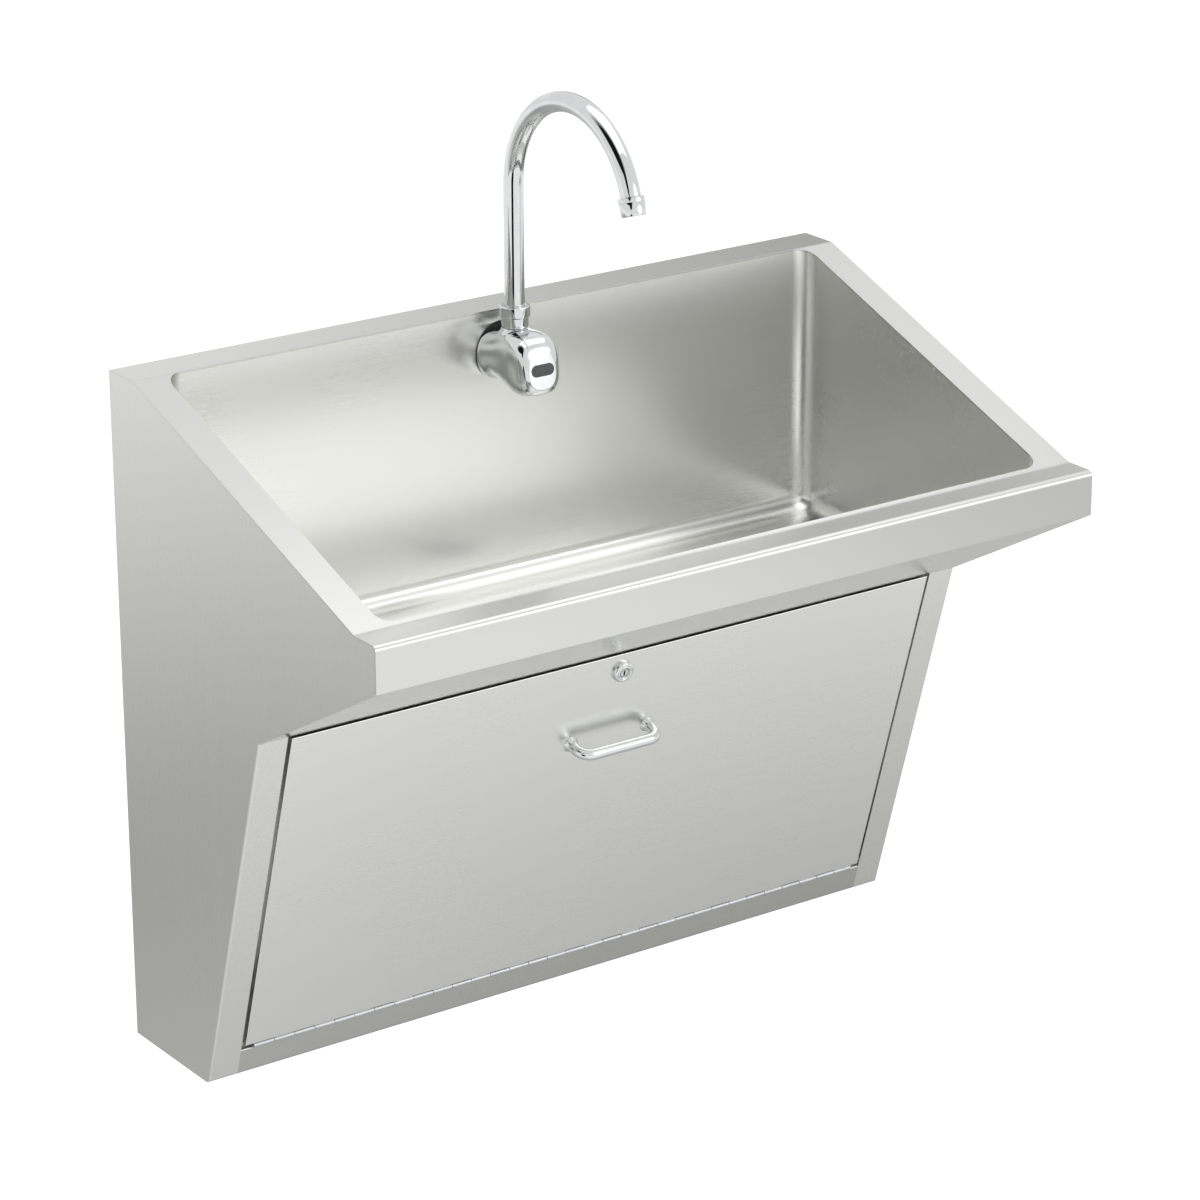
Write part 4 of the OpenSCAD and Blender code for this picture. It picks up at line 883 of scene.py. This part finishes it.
# gooseneck, its collar in two bands and the aerator at its open end
spout = {"radius": 11.2, "foot": 752.2, "bendHeight": 906.0, "bend": 110.0, "turn": 163.0,
         "straightSteps": 10, "turnSteps": 80}
collar = {"top": 772.0, "wide": 17.0, "slim": 15.0, "step": 760.0, "clearance": 0.05, "passage": 6.0}
aerator = {"wall": 3.2, "length": 20.0, "passage": 10.0, "band": 5.2}


def onSpout(x, y, h):
    return (x, spoutY + y, h)


def spoutLine():
    foot, rise, steps = spout["foot"], spout["bendHeight"] - spout["foot"], spout["straightSteps"]
    line = [Vector((0, spoutY, foot + rise * k / steps)) for k in range(steps)]
    for k in range(spout["turnSteps"] + 1):
        q = math.radians(spout["turn"]) * k / spout["turnSteps"]
        line.append(Vector((0, spoutY - spout["bend"] * (1 - math.cos(q)),
                            spout["bendHeight"] + spout["bend"] * math.sin(q))))
    return line


def makeCollar():
    foot, inner = faucet["collarFoot"], spout["radius"] + collar["clearance"]
    wide, slim, step, top, way = (collar[k] for k in ("wide", "slim", "step", "top", "passage"))
    profile = [(inner, foot + 4), (way, foot + 4), (way, foot + 0.05), (slim - 0.7, foot + 0.05),
               (slim - 0.2, foot + 0.25), (slim, foot + 0.8), (slim, step - 0.9), (slim - 0.5, step - 0.35),
               (slim - 0.5, step), (wide - 0.9, step), (wide - 0.25, step + 0.25), (wide, step + 0.9),
               (wide, top - 1.2), (wide - 0.35, top - 0.35), (wide - 1.2, top), (inner + 1.6, top),
               (inner + 0.5, top - 0.5), (inner, top - 1.4)]
    obj = softenEdges(lathe("spoutCollar", profile, onSpout), 0.18, 25)
    return finishPiece(obj, "cabinet", materials["chrome"], "chrome_plate", "spout_collar")


def makeAerator(end):
    q = math.radians(spout["turn"])
    side, ahead = Vector((1, 0, 0)), Vector((0, -math.sin(q), math.cos(q)))
    up = ahead.cross(side)
    place = lambda x, y, h: end + side * x + up * y + ahead * h
    top = spout["radius"] + aerator["wall"]
    way, length, band = (aerator[k] for k in ("passage", "length", "band"))
    profile = [(way, 0), (top - 0.8, 0), (top - 0.2, 0.2), (top, 0.9), (top - 0.25, band),
               (top - 0.45, band + 0.15), (top - 0.3, band + 0.4), (top - 1.1, length - 1.2),
               (top - 1.35, length - 0.4), (top - 2.0, length), (way + 1.0, length),
               (way + 0.4, length - 0.5), (way, length - 1.4)]
    obj = smoothFaces(lathe("aeratorShell", profile, place), 45)
    return finishPiece(obj, "spout", materials["chrome"], "chrome_plate", "aerator_shell")


def makeSpout():
    line = spoutLine()
    obj = smoothFaces(sweepTube("gooseneck", line, [spout["radius"]] * len(line), 64), 50)
    finishPiece(obj, "spout", materials["chrome"], "chrome_plate", "gooseneck_spout")
    makeCollar()
    makeAerator(line[-1])


makeSpout()
print("scrub sink: faucet made")


# drain in the bowl's floor, with its grid in one piece; heights are from the floor
drain = {
    "flange": [(20.4, -1.0), (21.0, -0.4), (21.0, 0.6), (21.4, 1.05), (22.2, 1.3), (34.6, 2.0),
               (36.4, 1.75), (37.7, 0.95), (38.0, 0.02)],
    "neck": 25.0, "bore": 19.0, "length": 50.0, "gridTop": -1.0, "gridBottom": -3.0,
    "pitch": 5.4, "holeRadius": 1.9, "rings": 4,
}


def makeDrain():
    neck, bore, foot = drain["neck"], drain["bore"], -drain["length"]
    profile = [(0, drain["gridTop"])] + drain["flange"]
    profile += [(neck, drain["flange"][-1][1]), (neck, foot), (bore, foot), (bore, drain["gridBottom"]),
                (0, drain["gridBottom"])]
    obj = lathe("drainFlange", profile, onFloor)
    holes = []
    r, low = drain["holeRadius"], drain["gridBottom"] - 1
    for turn in range(drain["rings"]):
        count = max(1, turn * 6)
        for k in range(count):
            q = 2 * math.pi * k / count
            x0, y0 = turn * drain["pitch"] * math.cos(q), turn * drain["pitch"] * math.sin(q)
            holes.append(lathe("gridHole", [(0, low), (r, low), (r, 0), (0, 0)],
                               lambda x, y, h: onFloor(x0 + x, y0 + y, h), 20))
    cutOut(obj, *holes)
    smoothFaces(obj, 35)
    finishPiece(obj, "cabinet", materials["chrome"], "chrome_plate", "drain_body")


makeDrain()
print("scrub sink: drain made")


# the rest keep their solids' shapes with eased edges: body, finish, slot, edge, nodes
dressed = (
    ("cabinet", "zinc", "zinc_steel", 0.3,
     "left_hanger_channel right_hanger_channel left_wall_hanger right_wall_hanger"),
    ("cabinet", "zinc", "zinc_steel", 0.3, "service_rail shank_washer"),
    ("cabinet", "zinc", "zinc_steel", 0.15, "hinge_frame_leaf"),
    ("door", "zinc", "zinc_steel", 0.15, "hinge_door_leaf handle_screws lock_nut"),
    ("lock", "zinc", "zinc_steel", 0.15, "lock_cam cam_screw"),
    ("cabinet", "pad", "sound_pad", 0.5, "sound_pad"),
    ("cabinet", "chrome", "chrome_plate", 0.3, "tailpiece tailpiece_nut trap_bend trap_arm slip_nuts"),
    ("cabinet", "brass", "brass", 0.3,
     "faucet_shank shank_nut inlet_elbow drain_locknut mixing_valve hot_stop_valve cold_stop_valve"),
    ("cabinet", "rubber", "rubber", 0.3, "foot_gasket drain_gasket"),
    ("cabinet", "box", "box_plastic", 0.6, "control_box_base control_box_cover"),
    ("cabinet", "black", "black_plastic", 0.4, "solenoid_valve battery_pack"),
    ("cabinet", "circuit", "circuit", 0.2, "control_board"),
    ("mixing_control", "black", "black_plastic", 0.5, "mixing_knob"),
    ("hot_stop", "hot", "hot_plastic", 0.5, "hot_stop_handle"),
    ("cold_stop", "cold", "cold_plastic", 0.5, "cold_stop_handle"),
)
for body, look, slotName, edge, names in dressed:
    for node in names.split():
        dressNode(node, body, materials[look], slotName, edge)
# and these stay as they are, with only their finish changed
for look, names in (("zinc", "hinge_pin hot_hose cold_hose mixed_hose spout_hose"),
                    ("black", "aerator_screen sensor_lead")):
    for node in names.split():
        for materialSlot in nodes[node].material_slots:
            materialSlot.material = materials[look]
print("scrub sink: fittings dressed")


# studio in metres, with a pale floor and soft cards for the metal to mirror
studio = {
    "floor": -0.43, "floorHalf": 30, "floorGlow": 0.82, "floorColour": 0.40, "skyDiffuse": 0.80,
    # name, watts, size, place, aim
    "lamps": (("topSoftbox", 9.6, (2.5, 1.8), (0.50, -0.35, 2.5), (0.50, -0.35, 0)),
              ("frontSoftbox", 3.0, (1.4, 0.8), (1.6, -3.0, 1.4), (0, -0.3, 0.6))),
    # soft cards that only polished and satin surfaces see: name, shade, middle, size, turn, fade
    # the first two cards are painted shadow: grey patches on the floor beside the cabinet, seen only in
    # reflections, standing in for its shadow there
    "cards": (("floorShadowCard", 0.52, (0.95, 0.7, -0.42), (4.4, 4.0), (0, 0, 0), 0.5),
              ("leftFloorShadowCard", 0.42, (-1.3, 1.3, -0.415), (5.6, 5.6), (0, 0, 0), 0.95),
              ("apronCard", 0.42, (2.7, -2.7, -0.41), (2.6, 3.0), (0, 0, 0), 0.9),
              ("skyCard", 0.01, (-2.05, -0.8, 2.45), (3.25, 3.6), (0, 0, 0), 0.35),
              ("backCard", 0.30, (3.0, 3.0, 1.8), (3.4, 2.2), (90, 0, 0), 0.9),
              ("frontCard", 1.75, (1.4, -3.1, 0.6), (2.0, 1.5), (90, 0, 0), 0.8),
              ("highCard", 2.50, (1.9, -3.1, 1.60), (3.8, 2.1), (90, 0, 0), 0.7),
              ("lowFlag", 0.01, (-1.60, -1.58, 0.05), (0.95, 1.4), (90, 0, -46.8), 0.10),
              ("highFlag", 0.01, (-1.60, -1.58, 2.1), (0.9, 1.7), (90, 0, -46.8), 0.10)),
}


def seenDirectly(tree):
    # 1 for rays from the camera, from glossy surfaces and through clear ones
    path = tree.nodes.new("ShaderNodeLightPath")
    shown = mathNode(tree, "MAXIMUM", path.outputs["Is Camera Ray"], path.outputs["Is Glossy Ray"])
    return mathNode(tree, "MAXIMUM", shown, path.outputs["Is Transmission Ray"])


def makeSheet(name, half, z):
    # flat square with a material of its own that has no nodes yet
    mesh = bpy.data.meshes.new(name)
    corners = [(-half, -half, z), (half, -half, z), (half, half, z), (-half, half, z)]
    mesh.from_pydata(corners, [], [[0, 1, 2, 3]])
    material = bpy.data.materials.new(name)
    material.use_nodes = True
    material.node_tree.nodes.clear()
    mesh.materials.append(material)
    return linkMesh(name, mesh), material.node_tree


def makeCard(name, shade, middle, size, turn, fade):
    # an oval card whose edges fade out, hidden from the camera and casting no shadow
    card, tree = makeSheet(name, 1, 0)
    card.location = middle
    card.scale = (size[0] / 2, size[1] / 2, 1)
    card.rotation_euler = [math.radians(q) for q in turn]
    coords, length = tree.nodes.new("ShaderNodeTexCoord"), tree.nodes.new("ShaderNodeVectorMath")
    length.operation = "LENGTH"
    clear, grey, mix, out = (tree.nodes.new("ShaderNode" + kind) for kind in
                             ("BsdfTransparent", "Emission", "MixShader", "OutputMaterial"))
    grey.inputs["Color"].default_value = (shade, shade, shade, 1)
    wire(tree, (coords.outputs["Object"], length.inputs[0]))
    strength = mapRange(tree, length.outputs["Value"], 1.0, 1.0 - fade, 0.0, 1.0)
    wire(tree, (strength, mix.inputs[0]), (clear.outputs[0], mix.inputs[1]),
         (grey.outputs[0], mix.inputs[2]), (mix.outputs[0], out.inputs["Surface"]))
    card.visible_camera = card.visible_diffuse = card.visible_shadow = card.visible_transmission = False


def makeFloor():
    floor, tree = makeSheet("floor", studio["floorHalf"], studio["floor"])
    diffuse, glow, add, out = (tree.nodes.new("ShaderNode" + kind) for kind in
                               ("BsdfDiffuse", "Emission", "AddShader", "OutputMaterial"))
    diffuse.inputs["Color"].default_value = (*[studio["floorColour"]] * 3, 1)
    strength = mathNode(tree, "MULTIPLY", seenDirectly(tree), studio["floorGlow"])
    wire(tree, (strength, glow.inputs["Strength"]), (diffuse.outputs[0], add.inputs[0]),
         (glow.outputs[0], add.inputs[1]), (add.outputs[0], out.inputs["Surface"]))


def makeWorld():
    world = bpy.data.worlds.new("studio")
    world.use_nodes = True
    bpy.context.scene.world = world
    tree = world.node_tree
    background = tree.nodes["Background"]
    background.inputs["Color"].default_value = (1, 1, 1, 1)
    strength = mapRange(tree, seenDirectly(tree), 0, 1, studio["skyDiffuse"], 1.0)
    wire(tree, (strength, background.inputs["Strength"]))


def makeLamp(name, power, size, place, aim):
    data = bpy.data.lights.new(name, "AREA")
    data.shape = "RECTANGLE"
    data.size, data.size_y = size
    data.energy = power
    lamp = bpy.data.objects.new(name, data)
    lamp.location = place
    lamp.rotation_euler = (Vector(aim) - Vector(place)).to_track_quat("-Z", "Y").to_euler()
    bpy.context.scene.collection.objects.link(lamp)


makeFloor()
makeWorld()
for lamp in studio["lamps"]:
    makeLamp(*lamp)
for card in studio["cards"]:
    makeCard(*card)
print("scrub sink: studio lit")

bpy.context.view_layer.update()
